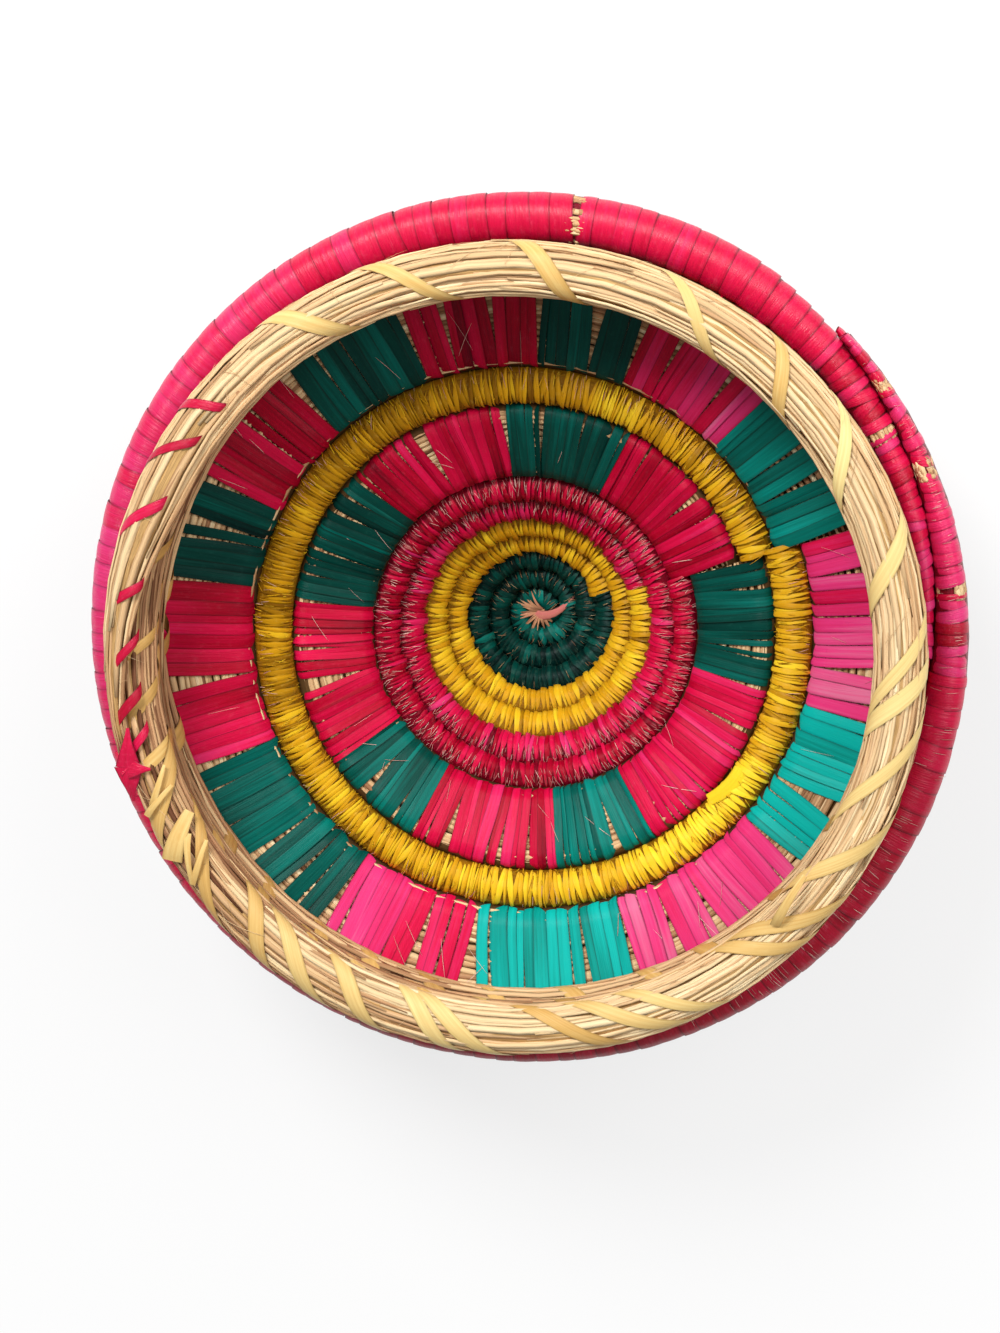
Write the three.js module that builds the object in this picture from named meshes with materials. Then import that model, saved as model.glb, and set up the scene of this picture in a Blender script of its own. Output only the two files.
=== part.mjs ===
// Lidded coiled basket of dyed straw. The lid lies inside up on the rim of its base.
// Lengths are millimetres, angles are degrees, +Z is up and the basket stands on z = 0.
import * as THREE from "three";

// Rim and collar
const RIM_RADIUS = 150; // over the rim coils of both halves
const RIM_CORD = 16; // thickness of a rim coil
const SPLICE_CORD = 3; // width of a rim coil at its two ends, which taper side by side
const SPLICE_FLATNESS = 0.6; // thickness of those ends, as a share of the coil's
const SPLICE_FROM = -25; // the start of a rim coil, from the seam
const SPLICE_TO = 24; // the tip of a rim coil, from the seam and one round on
const SPLICE_TAPER = 15; // the stretch beyond the other end over which a rim coil becomes full
const COLLAR_WIDTH = 16; // of the collar's top round
const COLLAR_LOW_WIDTH = 10; // of the rounds below it
const COLLAR_CORD = 12; // height of one round of the collar
const COLLAR_ROUNDS = 3;
const COLLAR_FIT = 0.8; // slack of the collar in the mouth of the base
const COLLAR_CLIMB_FROM = 155; // azimuth where each collar round starts to climb over the one below
const COLLAR_CLIMB = 45;

// Lid, from the centre outwards
const EYE = 0.8; // hole left at the centre of a coil
const LID_GREEN_CORD = 8;
const LID_YELLOW_CORD = 9.8;
const LID_PINK_CORD = 11;
const LID_COIL_THICKNESS = 10;
const INNER_BAND_WIDTH = 29.4;
const LID_RING_CORD = 12.4;
const BAND_THICKNESS = 8;
const BAND_GROWTH = 9; // how far a band winds outwards in one round
const EYE_SLOPE = 21;
const GREEN_SLOPE = 34;
const YELLOW_SLOPE = 51;
const PINK_SLOPE = 47;
const INNER_BAND_SLOPE = 26;
const OUTER_BAND_SLOPE = 19;
const RIM_DROP = 2; // middle of the rim coil under the edge of the outer band
const TUFT_LENGTH = 14;
const TUFT_WIDTH = 5;
const TUFT_AZIMUTH = 27;
const TUFT_STATIONS = 5;
const TUFT_START_SHARE = 0.25; // part of the tuft that lies behind the centre
const KNOT_LENGTH = 15;
const KNOT_WIDTH = 6;
const KNOT_THICKNESS = 2;
const KNOT_AZIMUTH = 199;
const KNOT_STATIONS = 4;
const TAIL_END_SHARE = 0.3; // width of a tail's ends, as a share of its middle

// Base
const BASE_GREEN_CORD = 10;
const BASE_YELLOW_CORD = 9.6;
const BASE_PINK_CORD = 10;
const BASE_COIL_THICKNESS = 10;
const HEEL_CORD = 11;
const HEEL_SLOPE = 32; // of the heel coil, between the flat bottom and the wall
const WALL_RING_CORD = 10;
const WALL_GREEN_CORD = 9;
const WALL_GREEN_ROUNDS = 3;
const WALL_CLIMB_FROM = 200;
const WALL_CLIMB = 45;
const WALL_SECTORS = 14;
const CROWN_CLEARANCE = 8; // between the crown of the lid and the floor of the base

// Wrapping of the bands
const WRAP = 0.9; // thickness of the long stitches
const CORE_FIT = 0.45; // between a wrap and its core

// Clearances between pieces
const COIL_GAP = 0.6;
const SEAT_GAP = 0.3;

// Winding
const SEAM = 20; // azimuth where the colours change
const ROUND = 360;
const STEPS = 24; // stations in one round
const STEP = ROUND / STEPS;
const SHORTEST_STEP = 0.05 * STEP; // between the end of a stretch and its nearest station
const SHORTEST_END = 1.5; // width of the thin end of a tapered coil
const THINNEST_SHARE = 0.25; // thickness of that end, as a share of the full coil's

const GREEN = 0x05695a;
const YELLOW = 0xe1af1e;
const PINK = 0xe1285f;
const STRAW = 0xcda564;
const TUFT = 0xc88a78;

const LID_WINDING = [
  { colour: "green", rounds: 3, cord: LID_GREEN_CORD },
  { colour: "yellow", rounds: 2, cord: LID_YELLOW_CORD },
  { colour: "pink", rounds: 2, cord: LID_PINK_CORD },
];
const BASE_WINDING = [
  { colour: "green", rounds: 3, cord: BASE_GREEN_CORD },
  { colour: "yellow", rounds: 2, cord: BASE_YELLOW_CORD },
  { colour: "pink", rounds: 4, cord: BASE_PINK_CORD },
];
const COLOURS = { green: GREEN, yellow: YELLOW, pink: PINK };

// Azimuths where the stitches of a band change colour, from its first colour at the seam.
const INNER_BAND_FIRST = "pink";
const INNER_BAND_CHANGES = [63, 95, 137, 172, 214, 240, 279, 303, 349];
const OUTER_BAND_FIRST = "green";
const OUTER_BAND_CHANGES = [46, 69, 87, 110, 132, 153, 170, 203, 235, 261, 290, 322, 348];
const WALL_BAND_FIRST = "pink";

const { degToRad } = THREE.MathUtils;

// A basket's middle surface as a line in the half-plane of one azimuth, walked outwards from its first
// point. A zone has a length and a slope, and the last zone goes on without end.
class Profile {
  constructor(radius, height, zones) {
    this.start = [radius, height];
    this.zones = zones;
  }

  at(distance) {
    let [radius, height] = this.start;
    let left = distance;
    for (const { length, slope } of this.zones) {
      const walked = Math.min(left, length);
      radius += walked * Math.cos(degToRad(slope));
      height += walked * Math.sin(degToRad(slope));
      left -= walked;
      if (left <= 0) break;
    }
    return [radius, height];
  }

  // Distance along the last zone at which the line reaches a radius.
  distanceToRadius(radius) {
    const before = this.zones.slice(0, -1).reduce((sum, zone) => sum + zone.length, 0);
    const last = this.zones[this.zones.length - 1];
    return before + (radius - this.at(before)[0]) / Math.cos(degToRad(last.slope));
  }
}

// The edges between the rounds of a spiral. Edge k starts at starts[k] and grows by growths[k] in a round.
function windingEdges(cords, bandWidths) {
  const pitches = cords.flatMap(({ rounds, cord }) => Array(rounds).fill(cord + COIL_GAP));
  const starts = [EYE];
  for (const width of [...pitches, ...bandWidths]) starts.push(starts[starts.length - 1] + width);
  const growths = starts.map((_, k) => (k < pitches.length ? pitches[k] : BAND_GROWTH));
  return (k, turn) => starts[k] + growths[k] * turn;
}

// A six-sided section between two points of a half-plane, with ends that are bevelled over a shoulder.
function section(from, to, thickness, shoulder) {
  const width = Math.hypot(to[0] - from[0], to[1] - from[1]);
  const along = [(to[0] - from[0]) / width, (to[1] - from[1]) / width];
  const point = (distance, side) => [
    from[0] + along[0] * distance - along[1] * side,
    from[1] + along[1] * distance + along[0] * side,
  ];
  const half = thickness / 2;
  return [
    point(0, 0),
    point(shoulder, -half),
    point(width - shoulder, -half),
    point(width, 0),
    point(width - shoulder, half),
    point(shoulder, half),
  ];
}

function cordSection(from, to, thickness) {
  return section(from, to, thickness, Math.hypot(to[0] - from[0], to[1] - from[1]) / 4);
}

// Every round runs straight between stations, so a point between two stations lies on their chord.
function chordShare(azimuth) {
  const past = THREE.MathUtils.euclideanModulo(azimuth - SEAM, STEP);
  return Math.cos(degToRad(STEP / 2)) / Math.cos(degToRad(past - STEP / 2));
}

function inSpace([radius, height], azimuth) {
  const spread = radius * chordShare(azimuth);
  return new THREE.Vector3(
    spread * Math.cos(degToRad(azimuth)),
    spread * Math.sin(degToRad(azimuth)),
    height,
  );
}

// Azimuths from one end of a stretch to the other, with every station between them.
function azimuthsBetween(from, to) {
  const list = [from];
  let next = SEAM + STEP * Math.ceil((from + SHORTEST_STEP - SEAM) / STEP);
  for (; next < to - SHORTEST_STEP; next += STEP) list.push(next);
  return [...list, to];
}

function closedGeometry(points, faces) {
  const geometry = new THREE.BufferGeometry().setFromPoints(points);
  let volume = 0;
  for (const [a, b, c] of faces) {
    volume += points[a].dot(points[b].clone().cross(points[c]));
  }
  const outwards = volume < 0 ? faces.map(([a, b, c]) => [a, c, b]) : faces;
  geometry.setIndex(outwards.flat());
  geometry.computeVertexNormals();
  return geometry;
}

function tubeFaces(stationCount, sides, offset, stride, faces, inwards) {
  for (let station = 0; station < stationCount - 1; station += 1) {
    for (let side = 0; side < sides; side += 1) {
      const a = station * stride + offset + side;
      const b = station * stride + offset + ((side + 1) % sides);
      const c = a + stride;
      const d = b + stride;
      if (inwards) faces.push([a, c, b], [b, c, d]);
      else faces.push([a, b, c], [b, d, c]);
    }
  }
}

// A solid tube through rings of points, closed by flat ends.
function tube(rings) {
  const sides = rings[0].length;
  const faces = [];
  tubeFaces(rings.length, sides, 0, sides, faces, false);
  const last = (rings.length - 1) * sides;
  for (let side = 1; side < sides - 1; side += 1) {
    faces.push([0, side + 1, side], [last, last + side, last + side + 1]);
  }
  return closedGeometry(rings.flat(), faces);
}

// A sleeve: a tube with a bore through it.
function sleeve(rings, bores) {
  const sides = rings[0].length;
  const stride = 2 * sides;
  const faces = [];
  tubeFaces(rings.length, sides, 0, stride, faces, false);
  tubeFaces(rings.length, sides, sides, stride, faces, true);
  const last = (rings.length - 1) * stride;
  for (let side = 0; side < sides; side += 1) {
    const next = (side + 1) % sides;
    const bore = sides + side;
    const boreNext = sides + next;
    faces.push([side, bore, next], [next, bore, boreNext]);
    faces.push([last + side, last + next, last + bore], [last + next, last + boreNext, last + bore]);
  }
  const points = rings.flatMap((ring, station) => [...ring, ...bores[station]]);
  return closedGeometry(points, faces);
}

// The least distance between points of a coil that lie more than half a round apart.
function leastGap(rings, azimuths) {
  let least = Infinity;
  rings.forEach((ring, i) => {
    for (let j = i + 1; j < rings.length; j += 1) {
      if (azimuths[j] - azimuths[i] <= ROUND / 2) continue;
      for (const p of ring) {
        for (const q of rings[j]) least = Math.min(least, p.distanceTo(q));
      }
    }
  });
  return least;
}

function mesh(name, geometry, colour, roughness = 0.75) {
  const material = new THREE.MeshStandardMaterial({ color: colour, roughness, metalness: 0 });
  const made = new THREE.Mesh(geometry, material);
  made.name = name;
  return made;
}

function coil(name, colour, azimuths, sectionAt) {
  const rings = azimuths.map((azimuth) => sectionAt(azimuth).map((point) => inSpace(point, azimuth)));
  console.log(`${name}: least gap to itself ${leastGap(rings, azimuths).toFixed(2)} mm`);
  return mesh(name, tube(rings), colour);
}

// Angle that a gap takes at a radius.
function gapAngle(gap, radius) {
  return THREE.MathUtils.radToDeg(gap / radius);
}

// Some rounds of a spiral on a profile, between its edges.
function woundCoil(name, colour, profile, edges, firstRound, rounds, thickness) {
  const sectionAt = (azimuth) => {
    const turned = (azimuth - SEAM) / ROUND;
    const round = Math.min(Math.floor(turned), rounds - 1);
    const turn = turned - round;
    const inner = edges(firstRound + round, turn) + COIL_GAP / 2;
    const outer = edges(firstRound + round + 1, turn) - COIL_GAP / 2;
    return cordSection(profile.at(inner), profile.at(outer), thickness);
  };
  const startRadius = profile.at(edges(firstRound, 0))[0] + COIL_GAP;
  const endRadius = profile.at(edges(firstRound + rounds - 1, 1))[0];
  const from = SEAM + gapAngle(COIL_GAP / 2, Math.max(startRadius, thickness));
  const to = SEAM + ROUND * rounds - gapAngle(COIL_GAP / 2, endRadius);
  return coil(name, colour, azimuthsBetween(from, to), sectionAt);
}

// A coil of whole rounds between two level edges. Its start swells under the climb of the first round,
// and its end thins out over the climb of the last one.
function levelCoil(name, colour, { low, cord, rounds, climbFrom, climb, sectionBetween }) {
  const pitch = cord + COIL_GAP;
  const thinShare = (SHORTEST_END + COIL_GAP) / pitch;
  const sectionAt = (azimuth) => {
    const turned = azimuth - climbFrom;
    const round = Math.min(Math.floor(turned / ROUND), rounds);
    const climbed = Math.min((turned - round * ROUND) / climb, 1);
    const bottom = round === 0 ? low : low + pitch * (round - 1 + climbed);
    const top = round === rounds ? low + pitch * rounds : low + pitch * (round + climbed);
    const fullness = Math.max((top - bottom) / pitch, THINNEST_SHARE);
    return sectionBetween(bottom + COIL_GAP / 2, top - COIL_GAP / 2, fullness);
  };
  const from = climbFrom + climb * thinShare;
  const to = climbFrom + ROUND * rounds + climb * (1 - thinShare);
  return coil(name, colour, azimuthsBetween(from, to), sectionAt);
}

// Width of a rim coil at an angle from one of its ends. The other end lies beside it up to the overlap.
function spliceWidth(turned) {
  const overlap = SPLICE_TO - SPLICE_FROM;
  const besideTip = RIM_CORD - SPLICE_CORD - COIL_GAP;
  if (turned < overlap) return THREE.MathUtils.lerp(SPLICE_CORD, besideTip, turned / overlap);
  return THREE.MathUtils.lerp(besideTip, RIM_CORD, Math.min((turned - overlap) / SPLICE_TAPER, 1));
}

// A level rim coil that starts thin on the inside of the splice and ends thin on its outside.
function rimCoil(name, height) {
  const start = SEAM + SPLICE_FROM;
  const tip = SEAM + ROUND + SPLICE_TO;
  const sectionAt = (azimuth) => {
    const outerEdge = RIM_RADIUS - RIM_CORD + spliceWidth(azimuth - start);
    const innerEdge = RIM_RADIUS - spliceWidth(tip - azimuth);
    const fullness = THREE.MathUtils.lerp(SPLICE_FLATNESS, 1, (outerEdge - innerEdge) / RIM_CORD);
    return cordSection([innerEdge, height], [outerEdge, height], RIM_CORD * fullness);
  };
  return coil(name, PINK, azimuthsBetween(start, tip), sectionAt);
}

// A flat band of straw: its core, and the wraps of long stitches that hide the core.
function band(group, name, firstColour, changes, edgesAt) {
  const insetSection = (azimuth, inset) => {
    const turn = THREE.MathUtils.clamp((azimuth - SEAM) / ROUND, 0, 1);
    const { profile, inner, outer } = edgesAt(turn);
    const thickness = BAND_THICKNESS - 2 * inset;
    const from = profile.at(inner + COIL_GAP / 2 + inset);
    const to = profile.at(outer - COIL_GAP / 2 - inset);
    return section(from, to, thickness, thickness / 2);
  };
  const spaceRing = (inset) => (azimuth) =>
    insetSection(azimuth, inset).map((point) => inSpace(point, azimuth));
  const { profile, inner } = edgesAt(0);
  const half = gapAngle(COIL_GAP / 2, profile.at(inner)[0]);

  const coreAzimuths = azimuthsBetween(SEAM + half, SEAM + ROUND - half);
  group.add(coil(`${name}_core`, STRAW, coreAzimuths, (azimuth) => insetSection(azimuth, WRAP + CORE_FIT)));

  const colours = firstColour === "pink" ? ["pink", "green"] : ["green", "pink"];
  const edges = [SEAM, ...changes, SEAM + ROUND];
  edges.slice(0, -1).forEach((edge, index) => {
    const azimuths = azimuthsBetween(edge + half, edges[index + 1] - half);
    const colour = colours[index % 2];
    const number = String(index + 1).padStart(2, "0");
    const geometry = sleeve(azimuths.map(spaceRing(0)), azimuths.map(spaceRing(WRAP)));
    group.add(mesh(`${name}_wrap_${number}_${colour}`, geometry, COLOURS[colour]));
  });
}

// Some wound coils of one half, in the order of its winding.
function windCoils(group, half, winding, profile, edges, thickness) {
  let round = 0;
  for (const { colour, rounds } of winding) {
    const name = `${half}_${colour}_coil`;
    group.add(woundCoil(name, COLOURS[colour], profile, edges, round, rounds, thickness));
    round += rounds;
  }
  return round;
}

// A limp tail that tapers to both ends, lying along a row of points.
function tail(points, width, thickness) {
  const rings = points.map((point, i) => {
    const before = points[Math.max(i - 1, 0)];
    const after = points[Math.min(i + 1, points.length - 1)];
    const forward = after.clone().sub(before).normalize();
    const sideways = new THREE.Vector3(0, 0, 1).cross(forward).normalize();
    const upwards = forward.clone().cross(sideways);
    const swell = Math.sin((Math.PI * (i + 0.5)) / points.length);
    const share = THREE.MathUtils.lerp(TAIL_END_SHARE, 1, swell);
    return section([-width / 2, 0], [width / 2, 0], thickness, width / 4).map(([across, over]) =>
      point.clone().addScaledVector(sideways, across * share).addScaledVector(upwards, over * share),
    );
  });
  return tube(rings);
}

// Middle surface of the lid, with the middle of its rim coil at height 0.
const lidEdges = windingEdges(LID_WINDING, [INNER_BAND_WIDTH + COIL_GAP, LID_RING_CORD + COIL_GAP]);
const lidRounds = LID_WINDING.reduce((sum, { rounds }) => sum + rounds, 0);
const greenEnd = LID_WINDING[0].rounds;
const yellowEnd = greenEnd + LID_WINDING[1].rounds;
const zoneEnds = [
  [lidEdges(1, 0.5), EYE_SLOPE],
  [lidEdges(greenEnd, 0.5), GREEN_SLOPE],
  [lidEdges(yellowEnd, 0.5), YELLOW_SLOPE],
  [lidEdges(lidRounds, 0.5), PINK_SLOPE],
  [lidEdges(lidRounds + 1, 0.5), INNER_BAND_SLOPE],
  [Infinity, OUTER_BAND_SLOPE],
];
const lidZones = zoneEnds.map(([end, slope], i) => ({
  length: end - (i ? zoneEnds[i - 1][0] : 0),
  slope,
}));
const mouthRadius = RIM_RADIUS - RIM_CORD;
const unplaced = new Profile(0, 0, lidZones);
const outerBandEnd = unplaced.distanceToRadius(mouthRadius);
const crownDepth = unplaced.at(outerBandEnd)[1] - RIM_DROP;
const lidProfile = new Profile(0, -crownDepth, lidZones);

function makeTuft() {
  const direction = [Math.cos(degToRad(TUFT_AZIMUTH)), Math.sin(degToRad(TUFT_AZIMUTH))];
  const thickness = TUFT_WIDTH / 2;
  const lift = LID_COIL_THICKNESS / 2 / Math.cos(degToRad(EYE_SLOPE)) + SEAT_GAP + thickness / 2;
  const points = Array.from({ length: TUFT_STATIONS }, (_, i) => {
    const along = (i / (TUFT_STATIONS - 1) - TUFT_START_SHARE) * TUFT_LENGTH;
    const height = lidProfile.at(Math.abs(along) / Math.cos(degToRad(EYE_SLOPE)))[1] + lift;
    return new THREE.Vector3(direction[0] * along, direction[1] * along, height);
  });
  return mesh("lid_start_tuft", tail(points, TUFT_WIDTH, thickness), TUFT);
}

// The outer faces of the collar's rounds are in line, and so is the thin end on top of them; inside, the top
// round overhangs the ones below.
const collarOuter = mouthRadius - COLLAR_FIT;
const collarPitch = COLLAR_CORD + COIL_GAP;

// The lowest collar round rests its lower edge on the stitches of the outer band.
function collarBottom() {
  const [, middle] = lidProfile.at(lidProfile.distanceToRadius(collarOuter - COLLAR_LOW_WIDTH / 2));
  return middle + BAND_THICKNESS / 2 / Math.cos(degToRad(OUTER_BAND_SLOPE)) + collarSideRise();
}

// How far the thin start of the collar is lifted, so that it doesn't dip into the sloping band.
function collarSideRise() {
  const halfWidth = (COLLAR_LOW_WIDTH / 2) * THINNEST_SHARE;
  return halfWidth * Math.tan(degToRad(OUTER_BAND_SLOPE)) + SEAT_GAP;
}

function makeCollar() {
  const low = collarBottom();
  const overhangFrom = low + (COLLAR_ROUNDS - 1) * collarPitch;
  return levelCoil("lid_collar_coil", STRAW, {
    low,
    cord: COLLAR_CORD,
    rounds: COLLAR_ROUNDS,
    climbFrom: COLLAR_CLIMB_FROM,
    climb: COLLAR_CLIMB,
    sectionBetween: (bottom, top, fullness) => {
      const overhung = THREE.MathUtils.clamp((top - overhangFrom) / COLLAR_CORD, 0, 1);
      const width = THREE.MathUtils.lerp(COLLAR_LOW_WIDTH, COLLAR_WIDTH, overhung);
      const radius = collarOuter - (width / 2) * THREE.MathUtils.lerp(1, fullness, overhung);
      return cordSection([radius, bottom], [radius, top], width * fullness);
    },
  });
}

function makeKnot() {
  const radius = collarOuter + SEAT_GAP + KNOT_WIDTH / 2;
  const middle = collarBottom() + COLLAR_ROUNDS * collarPitch - COLLAR_CORD / 2;
  const points = Array.from({ length: KNOT_STATIONS }, (_, i) => {
    const along = (i / (KNOT_STATIONS - 1) - 0.5) * KNOT_LENGTH;
    const azimuth = KNOT_AZIMUTH + gapAngle(along, radius);
    return inSpace([radius, middle], azimuth);
  });
  return mesh("lid_collar_knot", tail(points, KNOT_WIDTH, KNOT_THICKNESS), PINK);
}

function makeLid() {
  const lid = new THREE.Group();
  lid.add(makeTuft());
  windCoils(lid, "lid", LID_WINDING, lidProfile, lidEdges, LID_COIL_THICKNESS);
  band(lid, "lid_inner_band", INNER_BAND_FIRST, INNER_BAND_CHANGES, (turn) => ({
    profile: lidProfile,
    inner: lidEdges(lidRounds, turn),
    outer: lidEdges(lidRounds + 1, turn),
  }));
  const ringRound = lidRounds + 1;
  lid.add(woundCoil("lid_ring_coil", YELLOW, lidProfile, lidEdges, ringRound, 1, LID_COIL_THICKNESS));
  band(lid, "lid_outer_band", OUTER_BAND_FIRST, OUTER_BAND_CHANGES, (turn) => ({
    profile: lidProfile,
    inner: lidEdges(ringRound + 1, turn),
    outer: outerBandEnd,
  }));
  lid.add(rimCoil("lid_rim_coil", 0));
  lid.add(makeCollar());
  lid.add(makeKnot());
  return lid;
}

// Middle surface of the base: a flat bottom, a heel, and a wall that leans out to the middle of the rim coil.
const baseEdges = windingEdges(BASE_WINDING, [HEEL_CORD + COIL_GAP]);
const baseRounds = BASE_WINDING.reduce((sum, { rounds }) => sum + rounds, 0);
const floorMiddle = BASE_COIL_THICKNESS / 2;
const lidHeight = BASE_COIL_THICKNESS + CROWN_CLEARANCE + LID_COIL_THICKNESS / 2 + crownDepth;
const baseRimHeight = lidHeight - SEAT_GAP - RIM_CORD;
const bottomZones = [
  { length: baseEdges(baseRounds, 1) + COIL_GAP, slope: 0 },
  { length: HEEL_CORD, slope: HEEL_SLOPE },
];
const wallFoot = bottomZones[0].length + bottomZones[1].length;
const [footRadius, footHeight] = new Profile(0, floorMiddle, bottomZones).at(wallFoot);
const wallRun = RIM_RADIUS - RIM_CORD / 2 - footRadius;
const wallRise = baseRimHeight - footHeight;
const wallSlope = THREE.MathUtils.radToDeg(Math.atan2(wallRise, wallRun));
const baseProfile = new Profile(0, floorMiddle, [...bottomZones, { length: Infinity, slope: wallSlope }]);

function makeBase() {
  const base = new THREE.Group();
  windCoils(base, "base", BASE_WINDING, baseProfile, baseEdges, BASE_COIL_THICKNESS);
  base.add(woundCoil("base_heel_coil", YELLOW, baseProfile, baseEdges, baseRounds, 1, BASE_COIL_THICKNESS));

  const wallSection = (bottom, top, fullness) =>
    cordSection(baseProfile.at(bottom), baseProfile.at(top), BASE_COIL_THICKNESS * fullness);
  const underRim = RIM_CORD / 2 / Math.sin(degToRad(wallSlope)) + SEAT_GAP;
  const wallTop = wallFoot + Math.hypot(wallRun, wallRise) - underRim;
  const greenLow = wallTop - WALL_GREEN_ROUNDS * (WALL_GREEN_CORD + COIL_GAP);
  const ringLow = greenLow - WALL_RING_CORD - COIL_GAP;
  const climbs = { climbFrom: WALL_CLIMB_FROM, climb: WALL_CLIMB, sectionBetween: wallSection };
  const ring = { low: ringLow, cord: WALL_RING_CORD, rounds: 1 };
  const green = { low: greenLow, cord: WALL_GREEN_CORD, rounds: WALL_GREEN_ROUNDS };
  base.add(levelCoil("base_wall_yellow_coil", YELLOW, { ...ring, ...climbs }));
  base.add(levelCoil("base_wall_green_coil", GREEN, { ...green, ...climbs }));

  const sector = ROUND / WALL_SECTORS;
  const changes = Array.from({ length: WALL_SECTORS - 1 }, (_, i) => SEAM + sector * (i + 1));
  band(base, "base_wall_band", WALL_BAND_FIRST, changes, (turn) => ({
    profile: baseProfile,
    inner: baseEdges(baseRounds + 1, turn),
    outer: ringLow,
  }));
  base.add(rimCoil("base_rim_coil", baseRimHeight));
  return base;
}

const basket = new THREE.Group();
const lid = makeLid();
lid.position.z = lidHeight;
basket.add(makeBase(), lid);
console.log(`rim of the base at ${baseRimHeight.toFixed(2)}, rim of the lid at ${lidHeight.toFixed(2)} mm`);

export default basket;
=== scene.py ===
import math

import bpy
import numpy as np
from mathutils import Matrix, Vector


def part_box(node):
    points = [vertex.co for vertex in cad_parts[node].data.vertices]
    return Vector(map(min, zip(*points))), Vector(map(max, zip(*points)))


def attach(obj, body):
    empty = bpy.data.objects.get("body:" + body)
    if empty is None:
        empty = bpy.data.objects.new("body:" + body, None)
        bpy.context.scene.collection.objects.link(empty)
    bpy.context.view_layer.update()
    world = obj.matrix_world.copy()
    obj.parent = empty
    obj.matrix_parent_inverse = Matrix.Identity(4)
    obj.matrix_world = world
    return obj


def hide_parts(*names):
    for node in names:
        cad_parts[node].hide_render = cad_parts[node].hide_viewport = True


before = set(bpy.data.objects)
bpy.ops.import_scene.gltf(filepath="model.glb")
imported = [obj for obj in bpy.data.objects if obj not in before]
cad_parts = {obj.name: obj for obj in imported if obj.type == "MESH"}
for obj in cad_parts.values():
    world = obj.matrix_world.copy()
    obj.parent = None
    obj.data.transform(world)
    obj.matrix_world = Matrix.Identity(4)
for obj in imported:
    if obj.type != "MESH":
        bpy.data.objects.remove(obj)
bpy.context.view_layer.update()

# Lengths are millimetres and angles degrees, unless a comment says otherwise. MM turns a length to metres.
MM = 0.001
ROUND = 360.0
SEAM = 20.0  # azimuth where the coils change colour
COIL_GAP = 0.6
FAR = 500.0  # past the end of a profile
SEED = 7
RNG = np.random.default_rng(SEED)

# Rim and collar
RIM_RADIUS = 150.0
RIM_CORD = 16.0
SPLICE_CORD = 3.0
SPLICE_FLATNESS = 0.6
SPLICE_FROM = -25.0
SPLICE_TO = 24.0
SPLICE_TAPER = 15.0
COLLAR_FIT = 0.8
COLLAR_WIDTH = 16.0
COLLAR_LOW_WIDTH = 12.8
COLLAR_CORD = 12.0
COLLAR_ROUNDS = 3
COLLAR_CLIMB_FROM = 155.0
COLLAR_CLIMB = 45.0
THINNEST_SHARE = 0.25

# Lid, from the centre outwards
EYE = 0.8
GREEN_ROUNDS, GREEN_CORD = 3, 8.0
YELLOW_ROUNDS, YELLOW_CORD = 2, 9.8
PINK_ROUNDS, PINK_CORD = 2, 11.0
COIL_THICKNESS = 10.0
INNER_BAND_WIDTH = 29.4
RING_CORD = 12.4
BAND_THICKNESS = 8.0
BAND_GROWTH = 9.0
LID_SLOPES = (21, 34, 51, 47, 26, 19)
RIM_DROP = 2.0

# Base
BASE_GREEN_ROUNDS, BASE_GREEN_CORD = 3, 10.0
BASE_YELLOW_ROUNDS, BASE_YELLOW_CORD = 2, 9.6
BASE_PINK_ROUNDS, BASE_PINK_CORD = 4, 10.0
HEEL_CORD, HEEL_SLOPE = 11.0, 32.0
WALL_RING_CORD = 10.0
WALL_GREEN_CORD, WALL_GREEN_ROUNDS = 9.0, 3
WALL_CLIMB_FROM, WALL_CLIMB = 200.0, 45.0
WALL_TRIM = 8.0  # how far from its thin ends a wall coil is wrapped
WALL_SECTORS = 14
WALL_FADES = ((0.45, 0.5), (0.5, 0.55))
SEAT_GAP = 0.3
SEAT_REACH, SEAT_THICKNESS, SEAT_STEP = 1.5, 7.0, 1.5  # of the stitches between wall and rim
BASE_STRIP = 2.7

# Azimuths where the long stitches of the lid's bands change colour, and how light the stitches are at the two
# ends of each stretch: partly their dye, and partly painted shade that darkens the north and west stretches
INNER_CHANGES = (20, 63, 95.5, 137, 172.5, 215, 240.5, 279.5, 303.5, 349, 380)
INNER_FADES_WITH_PAINTED_SHADE = (
    (0.3, 0.36), (0.34, 0.3), (0.4, 0.28), (0.26, 0.3), (0.26, 0.36),
    (0.46, 0.48), (0.36, 0.44), (0.6, 0.56), (0.46, 0.5), (0.4, 0.4),
)
OUTER_CHANGES = (20, 46, 69, 87, 110, 132, 153, 170, 203, 235, 261, 290, 322, 348, 380)
OUTER_FADES_WITH_PAINTED_SHADE = (
    (0.62, 0.56), (0.66, 0.42), (0.34, 0.34), (0.26, 0.32), (0.32, 0.32), (0.22, 0.26), (0.22, 0.26),
    (0.3, 0.5), (0.5, 0.5), (0.78, 0.48), (0.9, 0.95), (0.84, 0.8), (0.98, 0.98), (0.92, 0.72),
)

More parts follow.
